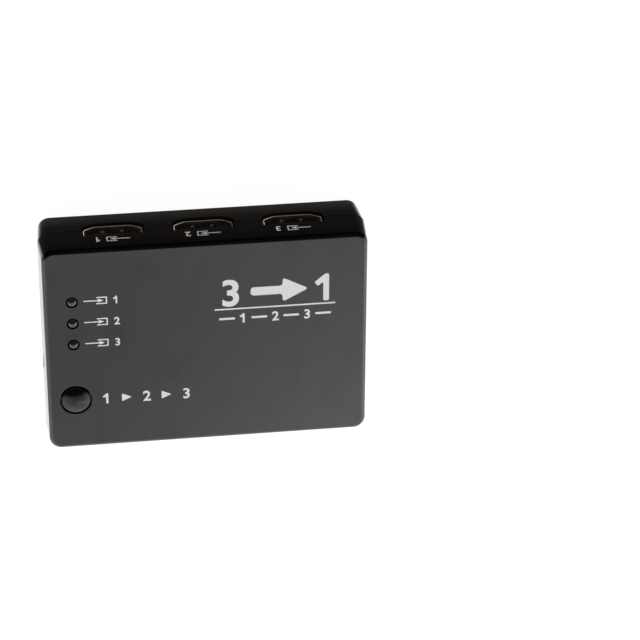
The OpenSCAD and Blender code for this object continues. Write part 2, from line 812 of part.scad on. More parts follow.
module receiver_window() color("#2a0a10") translate([receiver_x, 0, window_z]) {
    translate([0, window_seat_y, 0])
        rotate([90, 0, 0])
        cylinder(r = window_r - window_gap, h = window_seat_y - window_face_y);
    translate([0, window_seat_y + window_flange_t, 0])
        rotate([90, 0, 0])
        cylinder(r = window_r + window_flange, h = window_flange_t);
}

module infrared_receiver() color("#1a1018") translate([receiver_x, receiver_y, window_z]) {
    translate([-receiver_w / 2, 0, -receiver_h / 2]) cube([receiver_w, receiver_t, receiver_h]);
    rotate([90, 0, 0]) rotate_extrude() intersection() {
        circle(receiver_lens_r);
        square(receiver_lens_r);
    }
}

module receiver_leads() color("silver") at_receiver_leads()
    strip(lead_w, lead_w, tail_z, window_z - receiver_h / 2);

// A chip's body on its board, and one bent lead that runs out along +X from its side
module chip_body(w, d) {
    translate([-w / 2, -d / 2, board_top + chip_gap]) cube([w, d, chip_t]);
}
module chip_lead(lead_width) {
    bend = chip_lead_root + chip_lead_t;
    root = board_top + chip_lead_rise;
    rotate([90, 0, 0])
        linear_extrude(lead_width, center = true)
        polygon([
            [0, root], [0, root + chip_lead_t],
            [bend, root + chip_lead_t], [bend, board_top + chip_lead_t],
            [bend + chip_lead_foot, board_top + chip_lead_t], [bend + chip_lead_foot, board_top],
            [chip_lead_root, board_top], [chip_lead_root, root],
        ]);
}
module chip_lead_row(count, pitch, lead_width, side) {
    for (i = [0:count - 1]) translate([side, (i - (count - 1) / 2) * pitch, 0]) chip_lead(lead_width);
}

module switching_chip() color("#1b1b1d")
    translate(on_board(switch_chip_at)) chip_body(switch_chip_w, switch_chip_w);

module switching_chip_leads() color("silver") translate(on_board(switch_chip_at))
    for (turn = [0:90:270])
        rotate(turn)
            chip_lead_row(switch_lead_count, switch_lead_pitch, switch_lead_w, switch_chip_w / 2);

module control_chip() color("#1b1b1d")
    translate(on_board(control_chip_at)) chip_body(control_chip_w, control_chip_d);

module control_chip_leads() color("silver") translate(on_board(control_chip_at))
    for (turn = [90, 270])
        rotate(turn)
            chip_lead_row(control_lead_count, control_lead_pitch, control_lead_w, control_chip_d / 2);

module voltage_regulator() color("#1b1b1d") translate(on_board(regulator_at))
    strip(regulator_w, regulator_d, board_top + regulator_lead_t, board_top + regulator_h);

module regulator_leads() color("silver") translate(on_board(regulator_at)) {
    translate([0, regulator_reach / 2, 0])
        strip(regulator_tab_w, regulator_d + regulator_reach, board_top, board_top + regulator_lead_t);
    for (i = [-1:1])
        translate([i * regulator_pitch, -(regulator_d + regulator_reach) / 2, 0])
            strip(terminal_w / 2, regulator_reach, board_top, board_top + regulator_lead_t);
}

module power_capacitor() color("silver") translate(on_board(capacitor_at))
    rod(capacitor_r, board_top + capacitor_base_h, board_top + capacitor_h);

module power_capacitor_base() color("black") translate(on_board(capacitor_at))
    strip(capacitor_base_w, capacitor_base_w, board_top, board_top + capacitor_base_h);

module crystal() color("silver") translate(on_board(crystal_at))
    translate([0, 0, board_top])
    linear_extrude(crystal_h) {
        square([crystal_w - crystal_d, crystal_d], center = true);
        for (side = [-1, 1])
            translate([side * (crystal_w - crystal_d) / 2, 0])
                intersection() {
                    circle(d = crystal_d);
                    translate([side * crystal_d / 4, 0]) square([crystal_d / 2, crystal_d], center = true);
                }
    }

// A row of small parts centred on the switching chip, at an offset towards the rear
module small_part_row(count, off, height) {
    for (i = [0:count - 1])
        translate(on_board(switch_chip_at))
            translate([(i - (count - 1) / 2) * row_pitch, off, 0])
            strip(chip_part_w, chip_part_d, board_top, board_top + height);
}

module chip_capacitors() color("tan") {
    for (side = [-1, 1]) small_part_row(capacitor_count, side * capacitor_row_off, chip_capacitor_h);
}

module chip_resistors() color("#333333") {
    for (i = [0, 1])
        small_part_row(resistor_count, -resistor_row_off - i * resistor_row_pitch, chip_resistor_h);
}

top_cover();
bottom_cover();
case_screws();
rubber_feet();
circuit_board();
select_button();
tact_switch_plunger();
tact_switch_base();
tact_switch_plate();
tact_switch_dome();
tact_switch_pins();
lamp(1);  // lamp_1
lamp(2);  // lamp_2
lamp(3);  // lamp_3
lamp_leads();
lamp_spacers();
at_input(1) socket_shell();  // input_1_shell
at_input(2) socket_shell();  // input_2_shell
at_input(3) socket_shell();  // input_3_shell
at_output() socket_shell();  // output_shell
at_input(1) socket_tongue();  // input_1_tongue
at_input(2) socket_tongue();  // input_2_tongue
at_input(3) socket_tongue();  // input_3_tongue
at_output() socket_tongue();  // output_tongue
at_input(1) socket_contacts();  // input_1_contacts
at_input(2) socket_contacts();  // input_2_contacts
at_input(3) socket_contacts();  // input_3_contacts
at_output() socket_contacts();  // output_contacts
power_jack_housing();
power_jack_pin();
power_jack_leaf();
receiver_window();
infrared_receiver();
receiver_leads();
switching_chip();
switching_chip_leads();
control_chip();
control_chip_leads();
voltage_regulator();
regulator_leads();
power_capacitor();
power_capacitor_base();
crystal();
chip_capacitors();
chip_resistors();
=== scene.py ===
"""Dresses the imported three-input switch box and lights it for its picture.

Every size is in millimetres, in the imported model's own frame, until a piece is made.
"""

from __future__ import annotations

import json
import logging
import math
from collections.abc import Callable, Mapping, Sequence
from dataclasses import dataclass
from enum import Enum
from typing import Any

import bmesh
import bpy
from bmesh.types import BMFace, BMVert
from mathutils import Matrix, Vector


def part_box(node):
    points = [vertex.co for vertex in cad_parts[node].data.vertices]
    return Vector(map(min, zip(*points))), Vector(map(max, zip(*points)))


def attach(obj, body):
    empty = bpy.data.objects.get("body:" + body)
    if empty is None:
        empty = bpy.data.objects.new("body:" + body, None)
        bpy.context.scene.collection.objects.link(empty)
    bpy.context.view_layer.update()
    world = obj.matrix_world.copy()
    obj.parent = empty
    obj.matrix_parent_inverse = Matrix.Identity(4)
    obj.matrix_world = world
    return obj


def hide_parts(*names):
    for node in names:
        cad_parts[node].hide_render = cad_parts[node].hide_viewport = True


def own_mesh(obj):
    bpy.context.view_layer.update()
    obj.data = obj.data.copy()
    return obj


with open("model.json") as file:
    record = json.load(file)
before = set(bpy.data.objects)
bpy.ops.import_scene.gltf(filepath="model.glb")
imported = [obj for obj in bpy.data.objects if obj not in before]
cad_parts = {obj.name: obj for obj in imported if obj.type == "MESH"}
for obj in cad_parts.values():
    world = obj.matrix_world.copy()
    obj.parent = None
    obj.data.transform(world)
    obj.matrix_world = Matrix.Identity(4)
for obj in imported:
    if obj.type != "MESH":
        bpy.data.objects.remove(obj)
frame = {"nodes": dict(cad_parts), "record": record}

LOG = logging.getLogger("switch_box")
MM = 0.001
INPUTS = (1, 2, 3)
# Places closer than this count as one
TOUCH = 0.02
# Edges that turn more than this look sharp, and those that turn more than the next can be eased
SHARP = math.radians(38.0)
CORNER = math.radians(50.0)

Colour = tuple[float, float, float]
Point = tuple[float, float, float]
Pair = tuple[float, float]


class Body(Enum):
    """The bodies that a piece can ride on."""

    CASE = "case"
    BUTTON = "button"


class Facing(Enum):
    """The wall that a socket opens through, as the turn of its mouth in degrees."""

    REAR = 0.0
    RIGHT = -90.0


class Signal:
    """A shader socket that takes part in Python arithmetic."""

    def __init__(self, web: Web, socket: bpy.types.NodeSocket) -> None:
        """Wrap a node's output in a web."""
        self.web = web
        self.socket = socket

    def __add__(self, other: Signal | float) -> Signal:
        """Add a value."""
        return self.web.math("ADD", self, other)

    __radd__ = __add__

    def __sub__(self, other: Signal | float) -> Signal:
        """Take a value away."""
        return self.web.math("SUBTRACT", self, other)

    def __rsub__(self, other: float) -> Signal:
        """Take this from a value."""
        return self.web.math("SUBTRACT", other, self)

    def __mul__(self, other: Signal | float) -> Signal:
        """Multiply by a value."""
        return self.web.math("MULTIPLY", self, other)

    __rmul__ = __mul__

    def swing(self, amount: float) -> Signal:
        """Return how far a pattern is from its middle value, times an amount."""
        return amount * (self - 0.5)


class Web:
    """The node web of one material or world."""

    def __init__(self, tree: bpy.types.NodeTree) -> None:
        """Start with an empty node tree."""
        self.tree = tree
        tree.nodes.clear()

    def node(
        self,
        kind: str,
        settings: Mapping[str, Any],
        inputs: Mapping[int | str, Any],
        output: int | str = 0,
    ) -> Signal:
        """Add a node.

        Args:
            kind: The node's type.
            settings: The node's own settings.
            inputs: A value or a Signal for each socket that is set.
            output: The output to return.

        Returns:
            The chosen output.
        """
        made = self.tree.nodes.new(kind)
        for name, value in settings.items():
            setattr(made, name, value)
        for key, value in inputs.items():
            socket = made.inputs[key]
            if isinstance(value, Signal):
                self.tree.links.new(value.socket, socket)
            else:
                socket.default_value = value
        return Signal(self, made.outputs[output] if made.outputs else None)

    def math(self, operation: str, first: Signal | float, second: Signal | float) -> Signal:
        """Add a Math node on two values."""
        return self.node("ShaderNodeMath", {"operation": operation}, {0: first, 1: second})

    def place(self) -> Signal:
        """Return the place on the piece, in metres."""
        return self.node("ShaderNodeTexCoord", {}, {}, "Object")

    def along(self, axis: str) -> Signal:
        """Return the place on the piece along one axis, in metres."""
        return self.node("ShaderNodeSeparateXYZ", {}, {0: self.place()}, axis)

    def noise(self, size: float, detail: float = 2.0, stretch: Point = (1.0, 1.0, 1.0)) -> Signal:
        """Add a noise pattern.

        Args:
            size: The pattern's grain, in millimetres.
            detail: How many finer layers it has.
            stretch: How much finer it is along each axis.

        Returns:
            A value from 0 to 1.
        """
        spread = self.node("ShaderNodeMapping", {}, {"Vector": self.place(), "Scale": stretch})
        sockets = {"Vector": spread, "Scale": 1.0 / (size * MM), "Detail": detail}
        return self.node("ShaderNodeTexNoise", {}, sockets, "Fac")

    def blend(self, mask: Signal, low: Colour, high: Colour | Signal) -> Signal:
        """Mix two colours by a mask.

        Args:
            mask: A value from 0 to 1.
            low: The colour where the mask is 0.
            high: The colour where the mask is 1.

        Returns:
            The mixed colour.
        """
        over = high if isinstance(high, Signal) else (*high, 1.0)
        sockets = {0: mask, 6: (*low, 1.0), 7: over}
        return self.node("ShaderNodeMix", {"data_type": "RGBA"}, sockets, 2)

    def ease(self, value: Signal, start: float, end: float) -> Signal:
        """Turn a value into a soft step.

        Args:
            value: The value.
            start: Where the step is 0.
            end: Where the step is 1.

        Returns:
            A value from 0 to 1.
        """
        settings = {"interpolation_type": "SMOOTHSTEP"}
        sockets = {"Value": value, "From Min": start, "From Max": end}
        return self.node("ShaderNodeMapRange", settings, sockets)

    def band(self, axis: str, start: float, end: float) -> Signal:
        """Return a soft step along an axis, between two places in millimetres."""
        return self.ease(self.along(axis), start * MM, end * MM)

    def bump(self, height: Signal, depth: float, strength: float) -> Signal:
        """Make a normal from a height pattern whose depth is in millimetres."""
        sockets = {"Strength": strength, "Distance": depth * MM, "Height": height}
        return self.node("ShaderNodeBump", {}, sockets)


def shaded(colour: Colour, factor: float) -> Colour:
    """Return a colour made lighter or darker by a factor."""
    return tuple(channel * factor for channel in colour)


@dataclass(frozen=True)
class Finish:
    """A finish that is worked out from the place on a piece."""

    slot: str
    colour: Colour
    roughness: float

    def sockets(self, web: Web) -> dict[str, Any]:
        """Return the values of the shader's sockets."""
        raise NotImplementedError

    def title(self) -> str:
        """Return the material's name."""
        return f"{self.slot}_{type(self).__name__.lower()}"

    def material(self) -> bpy.types.Material:
        """Make the finish's material, or find the one that is made.

        Returns:
            The material.
        """
        found = bpy.data.materials.get(self.title())
        if found:
            return found
        made = bpy.data.materials.new(self.title())
        made.use_nodes = True
        web = Web(made.node_tree)
        surface = web.node("ShaderNodeBsdfPrincipled", {}, self.sockets(web))
        web.node("ShaderNodeOutputMaterial", {}, {"Surface": surface})
        return made


@dataclass(frozen=True)
class MouldedPlastic(Finish):
    """Moulded plastic with a fine texture, with gloss that can leave a rear panel matt.

    The painted floor light is how much paler the plastic is painted low on its walls, between two
    heights: painted light that stands in for light from the floor.
    """

    grain: float = 0.25
    grain_depth: float = 0.01
    specular: float = 0.4
    gloss: float = 0.0
    gloss_roughness: float = 0.06
    matt_behind: float | None = None
    matt_below: float = 18.68
    matt_fade: Pair = (0.6, 0.2)
    edge_gloss: float = 0.0
    edge_turn: Pair = (0.66, 0.9)
    haze: float = 0.0
    haze_span: Pair = (0.0, 1.0)
    clouding: float = 0.15
    smear_dulls: float = 0.12
    smear_rough: float = 0.16
    grain_rough: float = 0.08

    def sockets(self, web: Web) -> dict[str, Any]:
        """Work out the plastic's colour, gloss and grain.

        Args:
            web: The material's node web.

        Returns:
            The values of the shader's sockets.
        """
        cloud = web.noise(size=14.0, detail=3.0)
        smear = web.noise(size=6.0, detail=4.0, stretch=(1.0, 0.45, 1.0))
        fine = web.noise(size=self.grain, detail=3.0)
        coat = self.gloss * (1.0 - self.smear_dulls * web.ease(smear, 0.5, 0.8))
        if self.matt_behind is not None:
            behind = web.band("Y", self.matt_behind - self.matt_fade[0], self.matt_behind)
            below = web.band("Z", self.matt_below, self.matt_below - self.matt_fade[1])
            coat = coat * (1.0 - behind * below)
        if self.edge_gloss:
            turned_away = web.node("ShaderNodeLayerWeight", {}, {"Blend": 0.5}, "Facing")
            sheen = self.edge_gloss * web.ease(turned_away, *self.edge_turn)
            coat = web.math("MAXIMUM", coat, sheen)
        darker = shaded(self.colour, 1.0 - self.clouding)
        colour = web.blend(cloud, darker, shaded(self.colour, 1.0 + self.clouding))
        # Painted light: the plastic is painted paler low on its walls, in place of light from the
        # floor.
        if self.haze:
            clear = web.band("Z", *self.haze_span)
            colour = web.blend(clear, shaded(self.colour, 1.0 + self.haze), colour)
        rough = self.roughness + smear.swing(self.smear_rough)
        return {
            "Base Color": colour,
            "Roughness": rough + fine.swing(self.grain_rough),
            "Specular IOR Level": self.specular,
            "Coat Weight": coat,
            "Coat Roughness": self.gloss_roughness,
            "Normal": web.bump(fine, self.grain_depth, strength=0.5),
        }


@dataclass(frozen=True)
class PlatedMetal(Finish):
    """Plated or drawn sheet, with fine draw lines and a little tarnish."""

    tarnish: Colour = (0.3, 0.2, 0.1)
    tarnish_share: float = 0.3
    tarnish_rough: float = 0.2
    draw: Point = (1.0, 1.0, 12.0)
    draw_rough: float = 0.14

    def sockets(self, web: Web) -> dict[str, Any]:
        """Work out the plating's draw lines and stains.

        Args:
            web: The material's node web.

        Returns:
            The values of the shader's sockets.
        """
        lines = web.noise(size=0.6, detail=3.0, stretch=self.draw)
        stain = web.ease(web.noise(size=2.5, detail=4.0), 0.45, 0.75) * self.tarnish_share
        return {
            "Base Color": web.blend(stain, self.colour, self.tarnish),
            "Metallic": 1.0,
            "Roughness": self.roughness + lines.swing(self.draw_rough) + self.tarnish_rough * stain,
            "Normal": web.bump(lines, depth=0.01, strength=0.15),
        }


@dataclass(frozen=True)
class DulledMetal(PlatedMetal):
    """Plating that keeps its colour at a socket's mouth and is painted darker inside it: painted
    shade in the socket.

    Along the row of sockets in the rear wall, each rim keeps its colour at one end and is painted
    darker towards the other: painted shade, as if light fell from one side.
    """

    rear_mouth: float = 27.9
    side_mouth: float = 39.55
    rim: float = 0.025
    # The colour painted inside the socket, as painted shade in its recess.
    inside: Colour = (0.48, 0.41, 0.34)
    worn: Colour = (0.21, 0.185, 0.125)
    worn_span: Pair = (7.5, 4.5)
    dull: Colour = (0.055, 0.048, 0.033)
    dull_span: Pair = (17.5, 14.0)
    row_start: float = -32.925
    row_pitch: float = 22.15

    def sockets(self, web: Web) -> dict[str, Any]:
        """Work out the plating, the painted shade along its rims and the painted shade inside it.

        Args:
            web: The material's node web.

        Returns:
            The values of the shader's sockets.
        """
        values = super().sockets(web)
        edges = [
            web.band(axis, mouth - 2 * self.rim, mouth - self.rim)
            for axis, mouth in (("Y", self.rear_mouth), ("X", self.side_mouth))
        ]
        bright = web.math("MAXIMUM", *edges)
        along_row = web.along("X") - self.row_start * MM
        across = web.math("FLOORED_MODULO", along_row, self.row_pitch * MM)
        rim = values["Base Color"]
        # Painted shade: each rim is painted darker along the row, in two steps towards its far end.
        for colour, (start, end) in ((self.worn, self.worn_span), (self.dull, self.dull_span)):
            rim = web.blend(web.ease(across, start * MM, end * MM), colour, rim)
        # Painted shade: inside the socket the plating takes the darker inside colour.
        values["Base Color"] = web.blend(bright, self.inside, rim)
        return values


@dataclass(frozen=True)
class SoftRubber(Finish):
    """Matt rubber with a powdery bloom and a pitted skin."""

    bloom: Colour = (0.07, 0.07, 0.068)

    def sockets(self, web: Web) -> dict[str, Any]:
        """Work out the rubber's bloom and pits.

        Args:
            web: The material's node web.

        Returns:
            The values of the shader's sockets.
        """
        powder = web.ease(web.noise(size=1.6, detail=5.0), 0.45, 0.8)
        pits = web.noise(size=0.18)
        return {
            "Base Color": web.blend(powder, self.colour, self.bloom),
            "Roughness": self.roughness + pits.swing(0.1),
            "Specular IOR Level": 0.25,
            "Normal": web.bump(pits, depth=0.03, strength=0.4),
        }


@dataclass(frozen=True)
class SolderMask(Finish):
    """Board lacquer over copper tracks that show through it."""

    track: Colour = (0.05, 0.22, 0.08)
    track_l: float = 6.2
    track_pitch: float = 1.1
    track_gap: float = 0.3

    def sockets(self, web: Web) -> dict[str, Any]:
        """Work out the lacquer and the tracks under it.

        Args:
            web: The material's node web.

        Returns:
            The values of the shader's sockets.
        """
        settings = {"offset": 0.5, "squash": 0.6, "squash_frequency": 3}
        layout = {
            "Vector": web.place(),
            "Scale": 1.0,
            "Mortar Size": self.track_gap * MM,
            "Mortar Smooth": 0.1,
            "Brick Width": self.track_l * MM,
            "Row Height": self.track_pitch * MM,
        }
        tracks = web.node("ShaderNodeTexBrick", settings, layout, "Fac")
        return {
            "Base Color": web.blend(tracks, self.colour, self.track),
            "Roughness": self.roughness + web.noise(size=0.5).swing(0.15),
            "Coat Weight": 0.4 + 0.3 * tracks,
            "Coat Roughness": 0.2,
            "Normal": web.bump(tracks, depth=0.03, strength=0.3),
        }


@dataclass(frozen=True)
class PrintedInk(Finish):
    """Pad-printed ink with a slightly uneven coat."""

    thin: Colour = (0.55, 0.56, 0.57)

    def sockets(self, web: Web) -> dict[str, Any]:
        """Work out the ink, and where it is thin.

        Args:
            web: The material's node web.

        Returns:
            The values of the shader's sockets.
        """
        thinned = web.ease(web.noise(size=0.7, detail=4.0), 0.55, 0.8)
        return {
            "Base Color": web.blend(thinned, self.colour, self.thin),
            "Roughness": self.roughness + web.noise(size=0.3).swing(0.15),
            "Specular IOR Level": 0.3,
        }


@dataclass(frozen=True)
class FiredCeramic(Finish):
    """Small fired parts with a speckled skin."""

    speckling: float = 0.2

    def sockets(self, web: Web) -> dict[str, Any]:
        """Work out the ceramic's speckle.

        Args:
            web: The material's node web.

        Returns:
            The values of the shader's sockets.
        """
        speck = web.noise(size=0.25, detail=3.0)
        darker = shaded(self.colour, 1.0 - self.speckling)
        return {
            "Base Color": web.blend(speck, darker, shaded(self.colour, 1.0 + self.speckling)),
            "Roughness": self.roughness + speck.swing(0.2),
            "Normal": web.bump(speck, depth=0.01, strength=0.3),
        }


class Palette:
    """The finishes of this box, by the record's slot."""

    # The top cover is painted paler near the parting line and darker towards its top, and the
    # bottom cover paler towards its base: painted light from the floor.
    gloss_black = MouldedPlastic(
        "gloss_black", (0.0023, 0.0016, 0.0016), 0.3, grain=0.35, grain_depth=0.004, specular=0.006,
        gloss=1.0, gloss_roughness=0.06, matt_behind=27.2, edge_gloss=1.0, haze=4.2,
        haze_span=(8.0, 18.8),
    )
    satin_black = MouldedPlastic(
        "satin_black", (0.0138, 0.0126, 0.0117), 0.5, grain=0.3, grain_depth=0.02, specular=0.003,
        gloss_roughness=0.1, edge_gloss=1.0, haze=8.0, haze_span=(-3.0, 8.0),
    )
    button_black = MouldedPlastic(
        "button_black", (0.0014, 0.0013, 0.0013), 0.35, grain=0.4, grain_depth=0.003, specular=0.02,
        gloss=0.6, gloss_roughness=0.1,
    )
    lamp_lens = MouldedPlastic(
        "lamp_lens", (0.007, 0.012, 0.008), 0.3, grain=0.8, grain_depth=0.002, specular=0.05,
        gloss=0.9, gloss_roughness=0.06,
    )
    moulding_black = MouldedPlastic(
        "moulding_black", (0.009, 0.009, 0.0095), 0.5, grain=0.2, grain_depth=0.012, specular=0.05,
    )
    chip_black = MouldedPlastic(
        "chip_black", (0.03, 0.03, 0.032), 0.6, grain=0.12, grain_depth=0.02, specular=0.3,
    )
    window_dark = MouldedPlastic(
        "window_dark", (0.02, 0.004, 0.007), 0.2, grain=0.6, grain_depth=0.002, specular=0.3,
        gloss=1.0, gloss_roughness=0.04,
    )
    gold_plate = PlatedMetal("gold_plate", (0.76, 0.56, 0.25), 0.3)
    # The sockets' plating is painted darker inside and towards one end of each rim: painted shade.
    socket_gold = DulledMetal("gold_plate", (0.66, 0.58, 0.4), 0.38, tarnish_share=0.6)
    tinned_steel = PlatedMetal(
        "tinned_steel", (0.62, 0.63, 0.65), 0.32, tarnish=(0.3, 0.3, 0.31), draw=(6.0, 1.0, 1.0),
    )
    screw_steel = PlatedMetal(
        "screw_steel", (0.06, 0.06, 0.066), 0.38, tarnish=(0.02, 0.02, 0.02), draw=(1.0, 1.0, 1.0),
    )
    can_aluminium = PlatedMetal(
        "can_aluminium", (0.75, 0.76, 0.78), 0.28, tarnish=(0.5, 0.5, 0.5), draw=(1.0, 1.0, 8.0),
    )
    foot_rubber = SoftRubber("foot_rubber", (0.03, 0.03, 0.03), 0.85)
    board_green = SolderMask("board_green", (0.02, 0.13, 0.05), 0.4)
    ceramic_tan = FiredCeramic("ceramic_tan", (0.45, 0.33, 0.2), 0.55)
    print_white = PrintedInk("print_white", (0.76, 0.8, 0.79), 0.45)


def at_height(height: float) -> Callable[[Vector], bool]:
    """Return a test that tells whether a place is at a height."""
    return lambda place: abs(place.z - height) < TOUCH


def dome_radius(reach: float, rise: float) -> float:
    """Return the radius of a dome from its rim's radius and its rise."""
    return (reach**2 + rise**2) / (2 * rise)


class Shape:
    """A mesh in the making."""

    def __init__(self) -> None:
        """Start with an empty mesh."""
        self.bm = bmesh.new()

    def block(self, low: Point, high: Point) -> list[BMVert]:
        """Add a box between two corners.

        Args:
            low: Its lowest corner.
            high: Its highest corner.

        Returns:
            The box's vertices.
        """
        corners = bmesh.ops.create_cube(self.bm, size=1.0)["verts"]
        bmesh.ops.scale(self.bm, vec=Vector(high) - Vector(low), verts=corners)
        bmesh.ops.translate(self.bm, vec=(Vector(high) + Vector(low)) / 2, verts=corners)
        return corners

    def face(self, corners: Sequence[Point], radius: float) -> None:
        """Add one flat face, with its corners rounded.

        Args:
            corners: The face's corners, in order.
            radius: How far the rounding reaches along the sides.
        """
        points = [self.bm.verts.new(corner) for corner in corners]
        self.bm.faces.new(points)
        bmesh.ops.bevel(
            self.bm, geom=points, offset=radius, offset_type="OFFSET", segments=5,
            profile=0.5, affect="VERTICES", material=-1,
        )

    def level_faces(self, height: float) -> list[BMFace]:
        """Return the faces that lie flat at a height."""
        level = at_height(height)
        return [face for face in self.bm.faces if all(level(vertex.co) for vertex in face.verts)]

    def run(self, faces: Sequence[BMFace], way: Point) -> list[BMFace]:
        """Extrude faces along a straight way.

        Args:
            faces: The faces to carry along.
            way: How far they go.

        Returns:
            The faces at the far end.
        """
        edges = dict.fromkeys(edge for face in faces for edge in face.edges)
        made = bmesh.ops.extrude_face_region(self.bm, geom=[*faces, *edges])["geom"]
        moved = [item for item in made if isinstance(item, BMVert)]
        bmesh.ops.translate(self.bm, vec=way, verts=moved)
        return [item for item in made if isinstance(item, BMFace)]

    def line(self, points: Sequence[Pair]) -> list[BMVert]:
        """Add a profile line in the XZ plane.

        Args:
            points: The radius and height of its corners.

        Returns:
            Its vertices, in order.
        """
        corners = [self.bm.verts.new((radius, 0.0, height)) for radius, height in points]
        for first, second in zip(corners, corners[1:]):
            self.bm.edges.new((first, second))
        return corners

    def crown(self, rim: BMVert, rise: float, steps: int) -> None:
        """Carry a profile's end over a dome to the Z axis.

        Args:
            rim: The profile's end.
            rise: How high the dome stands over it.
            steps: How many edges the dome's profile has.
        """
        radius = dome_radius(rim.co.x, rise)
        bmesh.ops.spin(
            self.bm, geom=[rim], cent=(0.0, 0.0, rim.co.z + rise - radius), axis=(0.0, -1.0, 0.0),
            angle=math.asin(min(rim.co.x / radius, 1.0)), steps=steps, use_merge=False,
        )

    def turn(self, steps: int) -> None:
        """Spin the profile so far into a solid of revolution about the Z axis."""
        bmesh.ops.spin(
            self.bm, geom=[*self.bm.verts, *self.bm.edges], axis=(0.0, 0.0, 1.0),
            angle=math.tau, steps=steps, use_merge=True,
        )
        self.tidy()

    def tidy(self) -> None:
        """Merge doubles, close poles and point every face outwards."""
        bmesh.ops.remove_doubles(self.bm, verts=self.bm.verts, dist=0.0005)
        bmesh.ops.dissolve_degenerate(self.bm, edges=self.bm.edges, dist=0.0001)
        bmesh.ops.recalc_face_normals(self.bm, faces=self.bm.faces)

    def ease_edges(self, reach: float, segments: int, wanted: Callable[[Vector], bool]) -> None:
        """Round the corners' edges whose both ends are wanted.

        Args:
            reach: How far the rounding reaches from the edge.
            segments: How many facets it has.
            wanted: Tells whether a vertex's place counts.
        """
        picked = [
            edge
            for edge in self.bm.edges
            if edge.is_manifold
            and edge.calc_face_angle() > CORNER
            and all(wanted(vertex.co) for vertex in edge.verts)
        ]
        bmesh.ops.bevel(
            self.bm, geom=picked, offset=reach, offset_type="OFFSET", segments=segments,
            profile=0.5, affect="EDGES", material=-1, clamp_overlap=True,
        )

    def move(self, matrix: Matrix) -> Shape:
        """Move the whole shape, and return it."""
        bmesh.ops.transform(self.bm, matrix=matrix, verts=self.bm.verts)
        return self

    def shift(self, way: Vector | Point) -> Shape:
        """Shift the whole shape without a turn, and return it."""
        return self.move(Matrix.Translation(way))

    def add(self, other: Shape) -> Shape:
        """Put another shape beside this one in the same mesh.

        Args:
            other: The other shape.

        Returns:
            This shape.
        """
        mesh = bpy.data.meshes.new("added")
        other.bm.to_mesh(mesh)
        self.bm.from_mesh(mesh)
        bpy.data.meshes.remove(mesh)
        return self

    def carve(self, tool: Shape, operation: str = "DIFFERENCE") -> None:
        """Cut another shape out of this one, or fuse it on.

        Args:
            tool: The other shape.
            operation: The Boolean's operation.
        """
        bodies = []
        for shape in (self, tool):
            mesh = bpy.data.meshes.new("carving")
            shape.bm.to_mesh(mesh)
            body = bpy.data.objects.new("carving", mesh)
            bpy.context.scene.collection.objects.link(body)
            bodies.append(body)
        change = bodies[0].modifiers.new("carve", "BOOLEAN")
        change.object = bodies[1]
        change.operation = operation
        change.solver = "EXACT"
        self.bm.clear()
        self.take(bodies[0])
        for body in bodies:
            bpy.data.meshes.remove(body.data)

    def take(self, body: bpy.types.Object) -> None:
        """Take in the mesh of an object as its modifiers and settings leave it.

        Args:
            body: The object.
        """
        bpy.context.view_layer.update()
        made = body.evaluated_get(bpy.context.evaluated_depsgraph_get())
        mesh = bpy.data.meshes.new_from_object(made)
        self.bm.from_mesh(mesh)
        bpy.data.meshes.remove(mesh)

    def piece(
        self,
        name: str,
        finish: Finish,
        stands_for: Sequence[str] = (),
        body: Body = Body.CASE,
        slot: bool = True,
    ) -> bpy.types.Object:
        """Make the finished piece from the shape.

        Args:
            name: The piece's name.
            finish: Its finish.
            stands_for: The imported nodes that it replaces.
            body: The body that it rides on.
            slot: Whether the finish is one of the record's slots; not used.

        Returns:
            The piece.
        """
        self.tidy()
        bmesh.ops.scale(self.bm, vec=(MM, MM, MM), verts=self.bm.verts)
        for face in self.bm.faces:
            face.smooth = True
        for edge in self.bm.edges:
            edge.smooth = edge.is_manifold and edge.calc_face_angle() < SHARP
        mesh = bpy.data.meshes.new(name)
        self.bm.to_mesh(mesh)
        self.bm.free()
        mesh.materials.append(finish.material())
        made = bpy.data.objects.new(name, mesh)
        bpy.context.scene.collection.objects.link(made)
        even = made.modifiers.new("even_shading", "WEIGHTED_NORMAL")
        even.keep_sharp = True
        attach(made, body.value)
        if stands_for:
            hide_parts(*stands_for)
        LOG.info("%s: %d faces", name, len(mesh.polygons))
        return made


def middle(node: str) -> Vector:
    """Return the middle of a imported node's box, in millimetres."""
    low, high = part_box(node)
    return (low + high) / (2 * MM)


def flat_middle(node: str) -> Vector:
    """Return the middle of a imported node's box on the table, in millimetres."""
    return middle(node) * Vector((1.0, 1.0, 0.0))


def turned(profile: Sequence[Pair], steps: int = 72) -> Shape:
    """Return a solid of revolution about the Z axis.

    Args:
        profile: The radius and height of its profile's corners.
        steps: How many facets it has.

    Returns:
        The solid.
    """
    shape = Shape()
    shape.line(profile)
    shape.turn(steps)
    return shape


def pipe(radius: float, low: float, high: float) -> Shape:
    """Return a round bar on the Z axis, between two heights."""
    return turned([(0.0, low), (radius, low), (radius, high), (0.0, high)])


